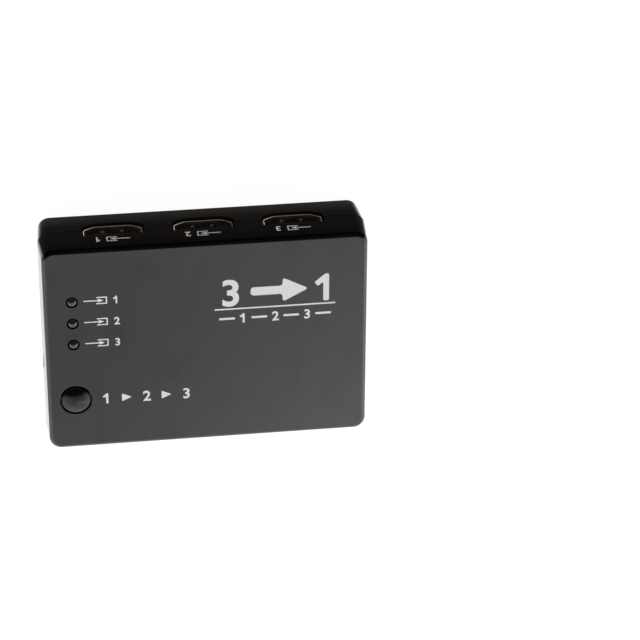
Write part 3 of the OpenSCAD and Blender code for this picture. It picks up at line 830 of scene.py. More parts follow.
@dataclass(frozen=True)
class CasePlan:
    """Sizes and steps that the two covers share."""

    width: float = 80.7
    depth: float = 57.4
    corner: float = 3.0
    lean: float = math.radians(3.3)
    wall: float = 1.8
    base_z: float = 0.8
    floor_z: float = 2.4
    board_z: float = 5.1
    board_top: float = 6.7
    seam_z: float = 10.0
    roof_z: float = 17.0
    top_z: float = 18.8
    seam_gap: float = 0.25
    lip_h: float = 1.2
    lip_t: float = 0.7
    lip_gap: float = 0.1
    screw_inset: float = 5.8
    fused: float = 0.5
    cut_past: float = 1.0

    def inset(self, height: float) -> float:
        """Return how far the leaning walls stand in at a height."""
        return abs(height - self.seam_z) * math.tan(self.lean)

    def on_wall(self, place: Vector) -> bool:
        """Tell whether a place is on the outer walls.

        Args:
            place: The place.

        Returns:
            Whether it is on them.
        """
        inset = self.inset(place.z)
        off_x = self.width / 2 - inset - abs(place.x)
        off_y = self.depth / 2 - inset - abs(place.y)
        if off_x < self.corner and off_y < self.corner:
            arc = math.hypot(self.corner - off_x, self.corner - off_y)
            return abs(arc - self.corner) < 3 * TOUCH
        return min(off_x, off_y) < TOUCH

    def corners(self, inset: float) -> list[Point]:
        """Return the four places on the table that stand in from the case's corners."""
        x, y = self.width / 2 - inset, self.depth / 2 - inset
        return [(x, y, 0.0), (-x, y, 0.0), (-x, -y, 0.0), (x, -y, 0.0)]

    def block(self, seam: float, far: float, edge_r: float) -> Shape:
        """Return a cover's outer form.

        Args:
            seam: The height of its face at the parting line.
            far: The height of its outer face.
            edge_r: The radius round the outer face.

        Returns:
            The solid form.
        """
        shape = Shape()
        x, y = self.width / 2, self.depth / 2
        corners = shape.block((-x, -y, min(seam, far)), (x, y, max(seam, far)))
        for level in (seam, far):
            ring = [corner for corner in corners if at_height(level)(corner.co)]
            inset = self.inset(level)
            bmesh.ops.scale(shape.bm, vec=(1 - inset / x, 1 - inset / y, 1.0), verts=ring)
        upright = [
            edge for edge in shape.bm.edges if abs(edge.verts[0].co.z - edge.verts[1].co.z) > TOUCH
        ]
        bmesh.ops.bevel(
            shape.bm, geom=upright, offset=self.corner, offset_type="OFFSET", segments=14,
            profile=0.5, affect="EDGES", material=-1,
        )
        reach = edge_r * math.tan((math.pi / 2 - self.lean) / 2)
        shape.ease_edges(reach, 8, at_height(far))
        return shape

    def hollow(self, shape: Shape, seam: float, steps: Sequence[Pair]) -> None:
        """Sink a stepped hollow into a cover from its face at the parting line.

        Args:
            shape: The cover's outer form.
            seam: The height of that face.
            steps: For each step, how far it goes in and the height that it goes to.
        """
        found = shape.level_faces(seam)
        level = seam
        for inset, height in steps:
            bmesh.ops.inset_region(
                shape.bm, faces=found, thickness=inset, use_even_offset=True, use_boundary=True
            )
            found = shape.run(found, (0.0, 0.0, height - level))
            level = height
        shape.tidy()

    def open_up(self, shape: Shape, tools: Shape, face_z: float, reach: float) -> None:
        """Cut the openings out of a cover and ease their outer rims.

        Args:
            shape: The cover.
            tools: What the openings take away.
            face_z: The height of the cover's outer face.
            reach: How far the easing reaches.
        """
        shape.carve(tools)
        shape.tidy()
        for wanted in (self.on_wall, at_height(face_z)):
            shape.ease_edges(reach, 3, wanted)


@dataclass(frozen=True)
class VideoSocket:
    """One video socket: a folded sheet shell with sloped lower corners."""

    name: str
    facing: Facing
    inner_w: float = 14.0
    inner_h: float = 4.55
    slope_run: float = 2.5
    slope_rise: float = 1.5
    corner: float = 0.2
    sheet: float = 0.35
    length: float = 11.5
    floor_z: float = 7.05
    mouth_ease: float = 0.16
    cut_gap: float = 0.35
    cut_span: Pair = (-2.8, 2.0)
    leg_w: float = 1.4
    leg_up: float = 0.5
    legs_back: Pair = (4.4, 9.6)
    tail_z: float = 4.2
    spring_x: float = 2.4
    spring_back: float = 1.8
    spring_r: float = 0.65
    spring_h: float = 0.25

    def frame(self) -> Matrix:
        """Return the socket's frame: x across the mouth, y out of it, z up from the table.

        Returns:
            The frame's matrix.
        """
        low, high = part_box(self.name + "_shell")
        if self.facing is Facing.REAR:
            mouth = Vector(((low.x + high.x) / 2, high.y, 0.0))
        else:
            mouth = Vector((high.x, (low.y + high.y) / 2, 0.0))
        turn = Matrix.Rotation(math.radians(self.facing.value), 4, "Z")
        return Matrix.Translation(mouth / MM) @ turn

    def outline(self, grow: float, y: float) -> Shape:
        """Return the mouth's outline as one face.

        Args:
            grow: How far it is grown past the inside of the shell.
            y: Where it lies along the socket.

        Returns:
            The face.
        """
        side = self.inner_w / 2
        slope = math.hypot(self.slope_run, self.slope_rise)
        flat = side - self.slope_run + grow * (slope - self.slope_run) / self.slope_rise
        knee = self.floor_z + self.slope_rise + grow * (self.slope_rise - slope) / self.slope_run
        low = self.floor_z - grow
        high = self.floor_z + self.inner_h + grow
        side += grow
        half = [(flat, low), (side, knee), (side, high)]
        ring = half + [(-x, z) for x, z in reversed(half)]
        shape = Shape()
        shape.face([(x, y, z) for x, z in ring], self.corner + grow)
        return shape

    def cutter(self) -> Shape:
        """Return what the socket takes out of the case's wall.

        Returns:
            The solid to cut away.
        """
        start, end = self.cut_span
        shape = self.outline(self.sheet + self.cut_gap, start)
        shape.run(list(shape.bm.faces), (0.0, end - start, 0.0))
        shape.tidy()
        return shape.move(self.frame())

    def legs(self, shape: Shape, x: float) -> None:
        """Add the legs that hold one side of the shell in the board.

        Args:
            shape: The shell.
            x: The middle of that side's sheet.
        """
        thick = self.sheet / 2 - TOUCH
        high = self.floor_z + self.slope_rise + self.leg_up
        for back in self.legs_back:
            shape.block(
                (x - thick, -back - self.leg_w / 2, self.tail_z),
                (x + thick, -back + self.leg_w / 2, high),
            )

    def spring(self) -> Shape:
        """Return one rounded contact spring, standing on the shell's floor.

        Returns:
            The spring.
        """
        shape = Shape()
        base = self.floor_z - self.sheet / 2
        foot = shape.line([(0.0, base), (self.spring_r, base), (self.spring_r, self.floor_z)])
        shape.crown(foot[-1], self.spring_h, 5)
        shape.turn(24)
        return shape

    def build(self) -> None:
        """Make the shell, its legs and the two springs in its floor."""
        shape = self.outline(self.sheet, 0.0)
        rim = list(shape.bm.faces)
        bmesh.ops.inset_region(
            shape.bm, faces=rim, thickness=self.sheet, use_even_offset=True, use_boundary=True
        )
        bmesh.ops.delete(shape.bm, geom=rim, context="FACES_ONLY")
        shape.run(list(shape.bm.faces), (0.0, -self.length, 0.0))
        shape.tidy()
        shape.ease_edges(self.mouth_ease, 4, lambda at: abs(at.y) < TOUCH)
        for side in (-1, 1):
            self.legs(shape, side * (self.inner_w + self.sheet) / 2)
            shape.add(self.spring().shift((side * self.spring_x, -self.spring_back, 0.0)))
        shape.move(self.frame())
        shape.piece(self.name + "_socket", Palette.socket_gold, [self.name + "_shell"])


@dataclass(frozen=True)
class Jack:
    """The low-voltage power jack in the left wall."""

    face_x: float = -39.85
    block_x: float = -38.25
    rear_x: float = -30.65
    width: float = 6.0
    height: float = 5.8
    edge: float = 0.2
    collar_r: float = 2.6
    rim: float = 0.22
    hole_r: float = 2.9
    cut_span: Pair = (-2.0, 3.0)
    bore_r: float = 1.9
    back_t: float = 1.2

    def place(self) -> Matrix:
        """Return the jack's axis: z runs in from its face.

        Returns:
            The axis's matrix.
        """
        axis = (self.face_x, middle("power_jack_pin").y, middle("power_jack_housing").z)
        return Matrix.Translation(axis) @ Matrix.Rotation(math.pi / 2, 4, "Y")

    def cutter(self) -> Shape:
        """Return the hole that the collar takes out of the wall."""
        return pipe(self.hole_r, *self.cut_span).move(self.place())

    def build(self) -> None:
        """Make the housing with its collar and blind bore."""
        length = self.rear_x - self.face_x
        step = self.block_x - self.face_x
        deep = length - self.back_t
        x, y = self.height / 2, self.width / 2
        shape = Shape()
        shape.block((-x, -y, step), (x, y, length))
        shape.ease_edges(self.edge, 3, lambda at: True)
        bmesh.ops.delete(shape.bm, geom=shape.level_faces(step), context="FACES_ONLY")
        outer, inner = self.collar_r, self.bore_r
        collar = turned([(outer, step), (outer, 0.0), (inner, 0.0), (inner, deep), (0.0, deep)])
        collar.ease_edges(self.rim, 3, at_height(0.0))
        shape.add(collar)
        loops = [edge for edge in shape.bm.edges if edge.is_boundary]
        bmesh.ops.triangle_fill(shape.bm, edges=loops, use_beauty=True, normal=(0.0, 0.0, -1.0))
        shape.move(self.place())
        shape.piece("power_jack_body", Palette.moulding_black, ["power_jack_housing"])


@dataclass(frozen=True)
class Window:
    """The dark window in front of the infrared receiver."""

    radius: float = 2.16
    hole_r: float = 2.2
    cut_span: Pair = (-1.0, 4.0)
    face_y: float = -28.2
    seat_y: float = -26.9
    flange_r: float = 2.7
    flange_t: float = 0.8
    bulge: float = 0.12
    edge: float = 0.12

    def place(self) -> Matrix:
        """Return the window's axis: z runs out through the wall.

        Returns:
            The axis's matrix.
        """
        centre = middle("receiver_window")
        turn = Matrix.Rotation(math.pi / 2, 4, "X")
        return Matrix.Translation((centre.x, self.seat_y, centre.z)) @ turn

    def cutter(self) -> Shape:
        """Return the hole that the window takes out of the wall."""
        return pipe(self.hole_r, *self.cut_span).move(self.place())

    def build(self) -> None:
        """Make the window with its flange and slightly domed face."""
        reach = self.seat_y - self.face_y
        shape = Shape()
        ends = shape.line([
            (0.0, -self.flange_t), (self.flange_r, -self.flange_t), (self.flange_r, 0.0),
            (self.radius, 0.0), (self.radius, reach),
        ])
        shape.crown(ends[-1], self.bulge, 8)
        shape.turn(72)
        shape.ease_edges(self.edge, 3, at_height(reach))
        shape.move(self.place())
        shape.piece("receiver_window_lens", Palette.window_dark, ["receiver_window"])


@dataclass(frozen=True)
class SelectButton:
    """The domed select button."""

    cap_r: float = 3.55
    hole_r: float = 4.05
    rim_z: float = 18.9
    dome: float = 0.9
    flange_r: float = 4.65
    flange_top: float = 16.85
    flange_t: float = 0.8
    stem_r: float = 1.6
    stem_z: float = 14.7
    edge: float = 0.18

    def build(self) -> None:
        """Make the cap, its flange and its stem in one turned piece."""
        flange_low = self.flange_top - self.flange_t
        shape = Shape()
        ends = shape.line([
            (0.0, self.stem_z), (self.stem_r, self.stem_z), (self.stem_r, flange_low),
            (self.flange_r, flange_low), (self.flange_r, self.flange_top),
            (self.cap_r, self.flange_top), (self.cap_r, self.rim_z),
        ])
        shape.crown(ends[-1], self.dome, 20)
        shape.turn(96)
        shape.ease_edges(self.edge, 4, at_height(self.rim_z))
        shape.shift(flat_middle("select_button"))
        shape.piece("select_button_cap", Palette.button_black, ["select_button"], Body.BUTTON)


@dataclass(frozen=True)
class SnapDome:
    """The thin snap dome under the button, which flattens as the button goes down."""

    radius: float = 2.4
    height: float = 0.45
    thick: float = 0.1
    pressed: float = 0.15

    def build(self) -> None:
        """Make the dome, and give it its own copy of its mesh."""
        node = "tact_switch_dome"
        bulge = dome_radius(self.radius, self.height)
        foot_r = math.sqrt((bulge - self.thick) ** 2 - (bulge - self.height) ** 2)
        shape = Shape()
        ends = shape.line([(foot_r, 0.0), (self.radius, 0.0)])
        shape.crown(ends[0], self.height - self.thick, 12)
        shape.crown(ends[1], self.height, 12)
        shape.turn(48)
        foot = flat_middle(node) + Vector((0.0, 0.0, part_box(node)[0].z / MM))
        shape.shift(foot)
        made = shape.piece("tact_switch_snap_dome", Palette.tinned_steel, [node])
        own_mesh(made)


@dataclass(frozen=True)
class IndicatorLamp:
    """One small round indicator lamp, unlit."""

    number: int
    lens_r: float = 1.4
    hole_r: float = 1.5
    rim_r: float = 1.9
    rim_t: float = 1.0
    base_z: float = 14.0
    top_z: float = 19.3
    edge: float = 0.1

    def build(self) -> None:
        """Make the lamp's rim, body and domed top."""
        node = f"lamp_{self.number}"
        rim_top = self.base_z + self.rim_t
        shape = Shape()
        ends = shape.line([
            (0.0, self.base_z), (self.rim_r, self.base_z), (self.rim_r, rim_top),
            (self.lens_r, rim_top), (self.lens_r, self.top_z - self.lens_r),
        ])
        shape.crown(ends[-1], self.lens_r, 14)
        shape.turn(48)
        shape.ease_edges(self.edge, 2, lambda at: at.z < rim_top + TOUCH)
        shape.shift(flat_middle(node))
        shape.piece(node + "_lens", Palette.lamp_lens, [node])


Opening = VideoSocket | Jack | Window


@dataclass(frozen=True)
class TopCover:
    """The gloss top cover."""

    plan: CasePlan
    edge_r: float = 1.2
    boss_r: float = 2.6
    pilot_r: float = 0.95
    pilot_z: float = 12.1
    guide_r: float = 4.85
    guide_t: float = 0.8
    guide_h: float = 2.0
    rim_ease: float = 0.08

    def inner_forms(self) -> Shape:
        """Return the screw bosses and the button's guide, inside the cover.

        Returns:
            The bosses and the guide.
        """
        plan = self.plan
        low, high = plan.roof_z - self.guide_h, plan.roof_z + plan.fused
        shape = Shape()
        for place in plan.corners(plan.screw_inset):
            boss = turned([
                (0.0, self.pilot_z), (self.pilot_r, self.pilot_z), (self.pilot_r, plan.board_top),
                (self.boss_r, plan.board_top), (self.boss_r, high), (0.0, high),
            ], 40)
            shape.add(boss.shift(place))
        inner, outer = self.guide_r, self.guide_r + self.guide_t
        guide = turned([(inner, low), (outer, low), (outer, high), (inner, high), (inner, low)], 56)
        return shape.add(guide.shift(flat_middle("select_button")))

    def build(self, openings: Sequence[Opening]) -> None:
        """Make the hollow cover with its openings.

        Args:
            openings: The sockets, jack and window that open through the walls.
        """
        plan = self.plan
        seam = plan.seam_z + plan.seam_gap / 2
        shape = plan.block(seam, plan.top_z, self.edge_r)
        rebate = plan.lip_t + plan.lip_gap
        rebate_z = plan.seam_z + plan.lip_h + plan.lip_gap
        plan.hollow(shape, seam, [(plan.wall - rebate, rebate_z), (rebate, plan.roof_z)])
        shape.carve(self.inner_forms(), "UNION")
        holes = {"select_button": SelectButton.hole_r}
        holes.update({f"lamp_{number}": IndicatorLamp.hole_r for number in INPUTS})
        tools = Shape()
        for node, radius in holes.items():
            hole = pipe(radius, plan.roof_z - plan.cut_past, plan.top_z + plan.cut_past)
            tools.add(hole.shift(flat_middle(node)))
        for opening in openings:
            tools.add(opening.cutter())
        plan.open_up(shape, tools, plan.top_z, self.rim_ease)
        shape.piece("top_cover_shell", Palette.gloss_black, ["top_cover"])


@dataclass(frozen=True)
class BottomCover:
    """The satin bottom cover."""

    plan: CasePlan
    edge_r: float = 0.6
    post_r: float = 3.0
    head_hole_r: float = 2.2
    head_seat_z: float = 2.1
    screw_hole_r: float = 1.3
    foot_hole_r: float = 3.6
    foot_sink: float = 0.6
    rim_ease: float = 0.14

    def build(self, openings: Sequence[Opening], feet: Sequence[Point]) -> None:
        """Make the hollow cover with its lip, posts and openings.

        Args:
            openings: The sockets and jack that open through the walls.
            feet: The places of the feet.
        """
        plan = self.plan
        seam = plan.seam_z - plan.seam_gap / 2
        shape = plan.block(seam, plan.base_z, self.edge_r)
        lip_z = plan.seam_z + plan.lip_h
        plan.hollow(shape, seam, [(plan.wall - plan.lip_t, lip_z), (plan.lip_t, plan.floor_z)])
        low, high = plan.base_z - plan.cut_past, plan.board_z + plan.cut_past
        posts, tools = Shape(), Shape()
        for place in plan.corners(plan.screw_inset):
            posts.add(pipe(self.post_r, plan.floor_z - plan.fused, plan.board_z).shift(place))
            well = turned([
                (0.0, low), (self.head_hole_r, low), (self.head_hole_r, self.head_seat_z),
                (self.screw_hole_r, self.head_seat_z), (self.screw_hole_r, high), (0.0, high),
            ], 48)
            tools.add(well.shift(place))
        shape.carve(posts, "UNION")
        for place in feet:
            tools.add(pipe(self.foot_hole_r, low, plan.base_z + self.foot_sink).shift(place))
        for opening in openings:
            tools.add(opening.cutter())
        plan.open_up(shape, tools, plan.base_z, self.rim_ease)
        shape.piece("bottom_cover_shell", Palette.satin_black, ["bottom_cover"])


@dataclass(frozen=True)
class Feet:
    """The four stuck-on rubber feet."""

    radius: float = 3.5
    thick: float = 1.4
    inset: float = 12.0
    edge: float = 0.45
    dish_r: float = 2.3
    dish: float = 0.2

    def build(self, places: Sequence[Point]) -> None:
        """Make the feet with round edges and a shallow dish.

        Args:
            places: The places of the feet.
        """
        between = (self.dish_r + self.radius) / 2
        feet = Shape()
        for place in places:
            foot = turned([
                (0.0, self.dish), (self.dish_r - self.dish, self.dish), (self.dish_r, 0.0),
                (self.radius, 0.0), (self.radius, self.thick), (0.0, self.thick),
            ], 56)
            foot.ease_edges(self.edge, 5, lambda at: abs(at.z) < TOUCH and at.xy.length > between)
            feet.add(foot.shift(place))
        feet.piece("rubber_foot_set", Palette.foot_rubber, ["rubber_feet"])


@dataclass(frozen=True)
class CaseScrews:
    """The four self-tapping case screws."""

    head_r: float = 2.0
    head_z: float = 1.0
    head_edge: float = 0.35
    seat_z: float = 2.1
    core_r: float = 0.9
    thread_r: float = 1.1
    pitch: float = 0.6
    tip_z: float = 11.1
    cross: float = 2.4
    cross_w: float = 0.55
    cross_deep: float = 0.6
    cross_taper: float = 0.7

    def one(self) -> Shape:
        """Return one screw, head down on the Z axis.

        Returns:
            The screw.
        """
        profile = [(0.0, self.head_z), (self.head_r, self.head_z), (self.head_r, self.seat_z)]
        height = self.seat_z
        while height + self.pitch < self.tip_z - self.core_r:
            profile += [(self.core_r, height), (self.thread_r, height + self.pitch / 2)]
            height += self.pitch
        shape = turned([*profile, (self.core_r, height), (0.0, self.tip_z)], 40)
        shape.ease_edges(self.head_edge, 4, at_height(self.head_z))
        high = self.head_z + self.cross_deep
        taper = (self.cross_taper, self.cross_taper, 1.0)
        for x, y in ((self.cross, self.cross_w), (self.cross_w, self.cross)):
            slot = Shape()
            slot.block((-x / 2, -y / 2, 0.0), (x / 2, y / 2, high))
            deep = [vertex for vertex in slot.bm.verts if at_height(high)(vertex.co)]
            bmesh.ops.scale(slot.bm, vec=taper, verts=deep)
            shape.carve(slot)
        return shape

    def build(self, places: Sequence[Point]) -> None:
        """Make the screws in their wells.

        Args:
            places: The places of the wells.
        """
        screws = Shape()
        for place in places:
            screws.add(self.one().shift(place))
        screws.piece("case_screw_set", Palette.screw_steel, ["case_screws"])


@dataclass(frozen=True)
class Pen:
    """Draws printed forms, each a thin solid that lies flat on the XY plane."""

    thick: float = 0.02
    bold: float = 0.035
    stem: float = 0.19
    figure_share: float = 0.7
    stem_round: float = 0.055
    point_round: float = 0.12
    end_round: float = 0.49

    def patch(self, corners: Sequence[Pair], radius: float) -> Shape:
        """Return a patch.

        Args:
            corners: Its corners, in order.
            radius: How far its corners are rounded.

        Returns:
            The patch.
        """
        shape = Shape()
        shape.face([(x, y, -self.thick) for x, y in corners], radius)
        shape.run(list(shape.bm.faces), (0.0, 0.0, 2 * self.thick))
        shape.tidy()
        return shape

    def even_patch(
        self, lower: Sequence[Pair], y: float, radius: float, tip: Sequence[Pair] = ()
    ) -> Shape:
        """Return a patch whose upper side mirrors its lower one.

        Args:
            lower: The corners of its lower side, measured from its middle line.
            y: The height of that line.
            radius: How far its corners are rounded.
            tip: The corners between the two sides.

        Returns:
            The patch.
        """
        ring = [*lower, *tip, *((x, -up) for x, up in reversed(lower))]
        return self.patch([(x, y + up) for x, up in ring], radius)

    def bar(self, start: float, end: float, y: float, wide: float) -> Shape:
        """Return a level line with round ends."""
        lower = [(start - wide / 2, -wide / 2), (end + wide / 2, -wide / 2)]
        return self.even_patch(lower, y, self.end_round * wide)

    def wedge(self, x: float, y: float, head: Pair) -> Shape:
        """Return a triangle that points along +X from a place, by its length and height."""
        long, tall = head
        return self.even_patch([(x, -tall / 2)], y, self.point_round * tall, [(x + long, 0.0)])

    def arrow(self, x: float, y: float, neck: float, wide: float, head: Pair) -> Shape:
        """Return an arrow that points along +X.

        Args:
            x: The place of its tail.
            y: The height of its middle.
            neck: The place where its head starts.
            wide: The width of its shaft.
            head: The head's length and height.

        Returns:
            The arrow.
        """
        long, tall = head
        lower = [(x, -wide / 2), (neck, -wide / 2), (neck, -tall / 2)]
        return self.even_patch(lower, y, self.point_round * tall, [(neck + long, 0.0)])

    def numeral(self, number: int, tall: float, x: float, y: float) -> Shape:
        """Return a numeral.

        Args:
            number: The number.
            tall: Its height.
            x: The place of its middle.
            y: The height of its middle.

        Returns:
            The numeral.
        """
        if number == 1:
            return self.one(tall * (1.0 + 2 * self.bold), x, y)
        curve = bpy.data.curves.new("numeral", "FONT")
        curve.body = str(number)
        curve.size = tall / self.figure_share
        curve.offset = self.bold * tall
        curve.extrude = self.thick
        curve.resolution_u = 8
        curve.align_x = "CENTER"
        letters = bpy.data.objects.new("numeral", curve)
        bpy.context.scene.collection.objects.link(letters)
        shape = Shape()
        shape.take(letters)
        bpy.data.curves.remove(curve)
        return shape.shift((x, y - tall / 2, 0.0))

    def one(self, tall: float, x: float, y: float) -> Shape:
        """Return a figure one with a flag.

        Args:
            tall: Its height.
            x: The place of its stem.
            y: The height of its middle.

        Returns:
            The figure.
        """
        side = self.stem / 2
        flag = [(-0.03, 0.5), (-0.39, 0.2), (-0.27, 0.05), (-side, 0.2)]
        shares = [(side, -0.5), (side, 0.5), *flag, (-side, -0.5)]
        corners = [(x + across * tall, y + up * tall) for across, up in shares]
        return self.patch(corners, self.stem_round * tall)


@dataclass(frozen=True)
class InputSign:
    """An arrow into a cup and a number. All sizes but the height are shares of the height."""

    tall: float = 2.0
    stroke: float = 0.15
    cup_round: float = 0.45
    cup_half: float = 0.43
    mouth: float = 1.475
    back: float = 2.75
    neck: float = 1.7
    head: Pair = (0.7, 0.54)
    number_at: float = 3.95

    def draw(self, pen: Pen, number: int, x: float, y: float) -> Shape:
        """Return the sign of one input.

        Args:
            pen: What draws it.
            number: The input's number.
            x: Where the sign starts.
            y: The height of its middle.

        Returns:
            The sign.
        """
        tall = self.tall
        wide = self.stroke * tall
        mouth, back = x + self.mouth * tall, x + self.back * tall
        outer, inner = self.cup_half * tall + wide / 2, self.cup_half * tall - wide / 2
        lower = [
            (back - wide / 2, -inner), (mouth, -inner),
            (mouth, -outer), (back + wide / 2, -outer),
        ]
        sign = pen.even_patch(lower, y, self.cup_round * wide)
        head = (self.head[0] * tall, self.head[1] * tall)
        sign.add(pen.arrow(x - wide / 2, y, x + self.neck * tall, wide, head))
        return sign.add(pen.numeral(number, tall, x + self.number_at * tall, y))


@dataclass(frozen=True)
class SelectorSign:
    """The sign of three inputs that lead to one output, over a rule and the inputs' numbers."""

    tall: float = 7.1
    y: float = 13.75
    inputs_x: float = 6.0
    output_x: float = 29.6
    arrow_x: Pair = (10.85, 18.8)
    shaft_w: float = 2.3
    head: Pair = (6.4, 6.8)
    rule_x: Pair = (2.1, 31.7)
    rule_y: float = 9.17
    rule_w: float = 0.4
    row_h: float = 2.5
    row_y: float = 6.45
    row_x: Point = (9.1, 17.0, 24.9)
    dashes_x: tuple[float, ...] = (5.0, 13.0, 20.9, 28.9)
    dash_reach: float = 1.7
    dash_w: float = 0.6

    def draw(self, pen: Pen) -> Shape:
        """Return the sign.

        Args:
            pen: What draws it.

        Returns:
            The sign.
        """
        tail, neck = self.arrow_x
        sign = pen.arrow(tail, self.y, neck, self.shaft_w, self.head)
        sign.add(pen.numeral(len(INPUTS), self.tall, self.inputs_x, self.y))
        sign.add(pen.numeral(1, self.tall, self.output_x, self.y))
        sign.add(pen.bar(*self.rule_x, self.rule_y, self.rule_w))
        for number, x in zip(INPUTS, self.row_x):
            sign.add(pen.numeral(number, self.row_h, x, self.row_y))
        for x in self.dashes_x:
            sign.add(pen.bar(x - self.dash_reach, x + self.dash_reach, self.row_y, self.dash_w))
        return sign


@dataclass(frozen=True)
class Printing:
    """The plain numerals and signs printed on the case."""

    plan: CasePlan
    pen: Pen = Pen()
    input_sign: InputSign = InputSign()
    selector: SelectorSign = SelectorSign()
    lamp_signs_x: float = -30.0
    lamp_signs_up: float = 0.15
    row_h: float = 2.8
    row_x: float = -25.2
    row_up: float = -0.1
    row_pitch: float = 9.9
    wedge_share: float = 0.37
    wedge: Pair = (2.5, 2.3)
    rear_z: float = 14.4
    rear_start: float = -4.2
    rear_shift: float = -0.45

    def build(self) -> None:
        """Print the top and the rear wall."""
        self.print_top()
        self.print_rear()

    def print_top(self) -> None:
        """Print the selector's sign, the lamps' signs and the row beside the button."""
        pen = self.pen
        top = self.selector.draw(pen)
        for number in INPUTS:
            y = middle(f"lamp_{number}").y + self.lamp_signs_up
            top.add(self.input_sign.draw(pen, number, self.lamp_signs_x, y))
        y = middle("select_button").y + self.row_up
        for step, number in enumerate(INPUTS):
            x = self.row_x + step * self.row_pitch
            top.add(pen.numeral(number, self.row_h, x, y))
            if number != INPUTS[-1]:
                top.add(pen.wedge(x + self.wedge_share * self.row_pitch, y, self.wedge))
        top.shift((0.0, 0.0, self.plan.top_z))
        top.piece("top_printing", Palette.print_white, slot=False)

    def print_rear(self) -> None:
        """Print a sign over each input, on the leaning rear wall."""
        rear = Shape()
        wall_y = self.plan.depth / 2 - self.plan.inset(self.rear_z)
        upright = Matrix.Rotation(math.pi / 2 - self.plan.lean, 4, "X")
        turn = Matrix.Rotation(math.pi, 4, "Z") @ upright
        for number in INPUTS:
            x = middle(f"input_{number}_shell").x + self.rear_shift
            sign = self.input_sign.draw(self.pen, number, self.rear_start, 0.0)
            rear.add(sign.move(Matrix.Translation((x, wall_y, self.rear_z)) @ turn))
        rear.piece("rear_printing", Palette.print_white, slot=False)


class BoardParts:
    """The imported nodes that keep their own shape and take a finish."""

    def dress(self, record: Mapping[str, Any], nodes: Mapping[str, bpy.types.Object]) -> None:
        """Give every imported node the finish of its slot.

        Args:
            record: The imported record.
            nodes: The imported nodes.
        """
        for part in record["subparts"]:
            node = nodes[part["node"]]
            finish = getattr(Palette, part["material_slot"])
            for slot in node.material_slots:
                slot.material = finish.material()
            LOG.info("%s: %s", node.name, finish.title())


@dataclass(frozen=True)
class Room:
    """The soft light all round: a tall pale screen in front, dark overhead, pale at the horizon.

    A span says where a light starts and where it is full, as parts of a direction of length 1.
    """

    colour: Colour = (1.0, 0.97, 0.965)
    dark: float = 0.05
    front: float = 1.29
    front_rise: float = 1.3
    front_middle: float = 0.48
    front_span: Pair = (0.0, 0.3)
    front_turn: float = 0.2
    dip: float = 0.1
    dip_start: Pair = (0.48, 0.508)
    dip_end: Pair = (0.512, 0.54)
    low: float = 14.0
    low_start: float = 0.455
    low_most: float = 1.2
    low_ahead: Pair = (0.8, 0.5)
    low_across: Pair = (0.03, 0.17)
    right: float = 1.2
    right_span: Pair = (0.35, 0.8)
    left: float = 0.72
    left_span: Pair = (-0.1, -0.7)
    rear: float = 0.3
    rear_span: Pair = (0.55, 0.8)
    horizon: float = 1.0
    horizon_span: Pair = (0.2, 0.05)
    brightest: float = 3.0

    def build(self) -> None:
        """Make the room's light, by the direction that it comes from."""
        world = bpy.data.worlds.new("room")
        world.use_nodes = True
        web = Web(world.node_tree)
        way = web.node("ShaderNodeTexCoord", {}, {}, "Generated")
        across, back, up = (web.node("ShaderNodeSeparateXYZ", {}, {0: way}, axis) for axis in "XYZ")
        ahead = -1.0 * back
        screen = self.front * (1.0 + self.front_rise * (ahead - self.front_middle))
        dip = web.ease(ahead, *self.dip_start) - web.ease(ahead, *self.dip_end)
        screen = screen * (1.0 - self.dip * dip)
        low = web.math("MAXIMUM", self.low * (ahead - self.low_start), 0.0)
        low = web.math("MINIMUM", low, self.low_most) * web.ease(ahead, *self.low_ahead)
        screen = screen + low * web.ease(across, *self.low_across)
        screen = screen + self.right * web.ease(across, *self.right_span)
        screen = screen + self.left * web.ease(across, *self.left_span)
        around = ahead + self.front_turn * web.math("MAXIMUM", across, 0.0)
        glow = self.dark + web.ease(around, *self.front_span) * screen
        glow = glow + self.rear * web.ease(back, *self.rear_span)
        glow = web.math("MAXIMUM", glow, self.horizon * web.ease(up, *self.horizon_span))
        glow = web.math("MINIMUM", glow, self.brightest)
        sockets = {"Color": (*self.colour, 1.0), "Strength": glow}
        shown = web.node("ShaderNodeBackground", {}, sockets)
        web.node("ShaderNodeOutputWorld", {}, {"Surface": shown})
        bpy.context.scene.world = world


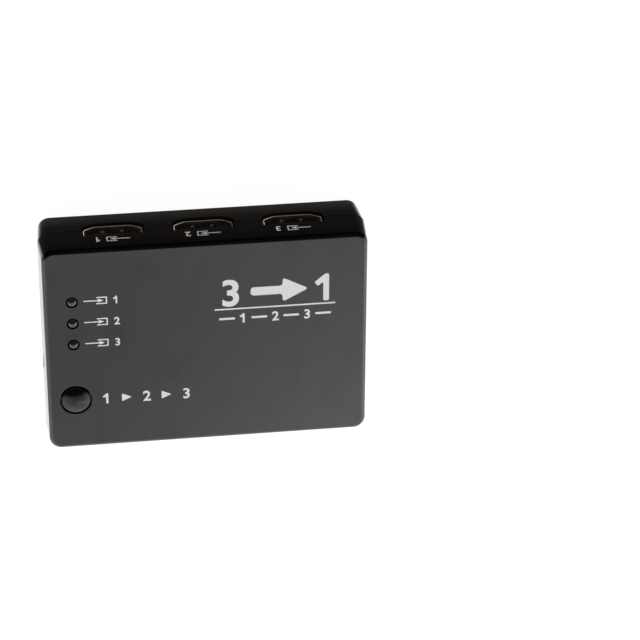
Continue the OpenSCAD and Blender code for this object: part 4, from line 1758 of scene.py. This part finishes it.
@dataclass(frozen=True)
class Studio:
    """The floor, the room's light and the camera, in metres."""

    floor_size: float = 8.0
    floor_shown: float = 0.965
    floor_lit: float = 0.2
    paper: Pair = (0.79, 0.81)
    camera_at: Point = (-0.05745, 0.35929, 0.61903)
    camera_aim: Point = (0.028122, 0.004393, 0.0188)
    camera_up: Point = (0.0642, 0.863, -0.50111)
    lens: float = 159.49
    sensor: float = 36.0
    room: Room = Room()

    def floor_paper(self) -> bpy.types.Material:
        """Make the floor's paper, which keeps shadows and is clear from below.

        Returns:
            The paper's material.
        """
        paper = bpy.data.materials.new("floor_paper")
        paper.use_nodes = True
        web = Web(paper.node_tree)
        pale, palest = ((grey, grey, grey) for grey in self.paper)
        tint = web.blend(web.noise(size=3.0, detail=3.0), pale, palest)
        plain = web.node("ShaderNodeBsdfDiffuse", {}, {"Color": tint})
        lit = web.node("ShaderNodeBsdfDiffuse", {}, {"Color": (*(self.floor_lit,) * 3, 1.0)})
        glow = web.node("ShaderNodeEmission", {}, {"Strength": self.floor_shown})
        shown = web.node("ShaderNodeAddShader", {}, {0: lit, 1: glow})
        kinds = ("Is Camera Ray", "Is Glossy Ray", "Is Transmission Ray")
        rays = [web.node("ShaderNodeLightPath", {}, {}, kind) for kind in kinds]
        seen = web.math("MAXIMUM", web.math("MAXIMUM", rays[0], rays[1]), rays[2])
        mixed = web.node("ShaderNodeMixShader", {}, {0: seen, 1: plain, 2: shown})
        under = web.node("ShaderNodeNewGeometry", {}, {}, "Backfacing")
        clear = web.node("ShaderNodeBsdfTransparent", {}, {})
        sided = web.node("ShaderNodeMixShader", {}, {0: under, 1: mixed, 2: clear})
        web.node("ShaderNodeOutputMaterial", {}, {"Surface": sided})
        return paper

    def floor(self) -> None:
        """Lay the pale floor."""
        shape = Shape()
        bmesh.ops.create_grid(shape.bm, x_segments=2, y_segments=2, size=self.floor_size / 2)
        mesh = bpy.data.meshes.new("floor")
        shape.bm.to_mesh(mesh)
        mesh.materials.append(self.floor_paper())
        laid = bpy.data.objects.new("floor", mesh)
        bpy.context.scene.collection.objects.link(laid)

    def light(self) -> None:
        """Light the room and set the plain view."""
        self.room.build()
        bpy.context.scene.view_settings.view_transform = "Standard"

    def camera(self) -> None:
        """Set the camera at the picture's viewing angle."""
        data = bpy.data.cameras.new("camera")
        data.lens = self.lens
        data.sensor_width = self.sensor
        made = bpy.data.objects.new("camera", data)
        back = (Vector(self.camera_at) - Vector(self.camera_aim)).normalized()
        right = Vector(self.camera_up).cross(back).normalized()
        turn = Matrix((right, back.cross(right), back)).transposed().to_4x4()
        made.matrix_world = Matrix.Translation(self.camera_at) @ turn
        bpy.context.scene.collection.objects.link(made)
        bpy.context.scene.camera = made


def main() -> None:
    """Build the box's pieces and the studio, in order."""
    logging.basicConfig(level=logging.INFO, format="%(name)s %(message)s")
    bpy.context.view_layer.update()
    studio = Studio()
    studio.camera()
    plan = CasePlan()
    jack, window, feet = Jack(), Window(), Feet()
    foot_places = plan.corners(feet.inset)
    sockets = [VideoSocket(f"input_{number}", Facing.REAR) for number in INPUTS]
    sockets.append(VideoSocket("output", Facing.RIGHT))
    BoardParts().dress(frame["record"], frame["nodes"])
    TopCover(plan).build([*sockets, jack, window])
    BottomCover(plan).build([*sockets, jack], foot_places)
    SelectButton().build()
    SnapDome().build()
    for number in INPUTS:
        IndicatorLamp(number).build()
    for socket in sockets:
        socket.build()
    jack.build()
    window.build()
    feet.build(foot_places)
    CaseScrews().build(plan.corners(plan.screw_inset))
    Printing(plan).build()
    studio.floor()
    studio.light()


if __name__ == "__main__":
    main()
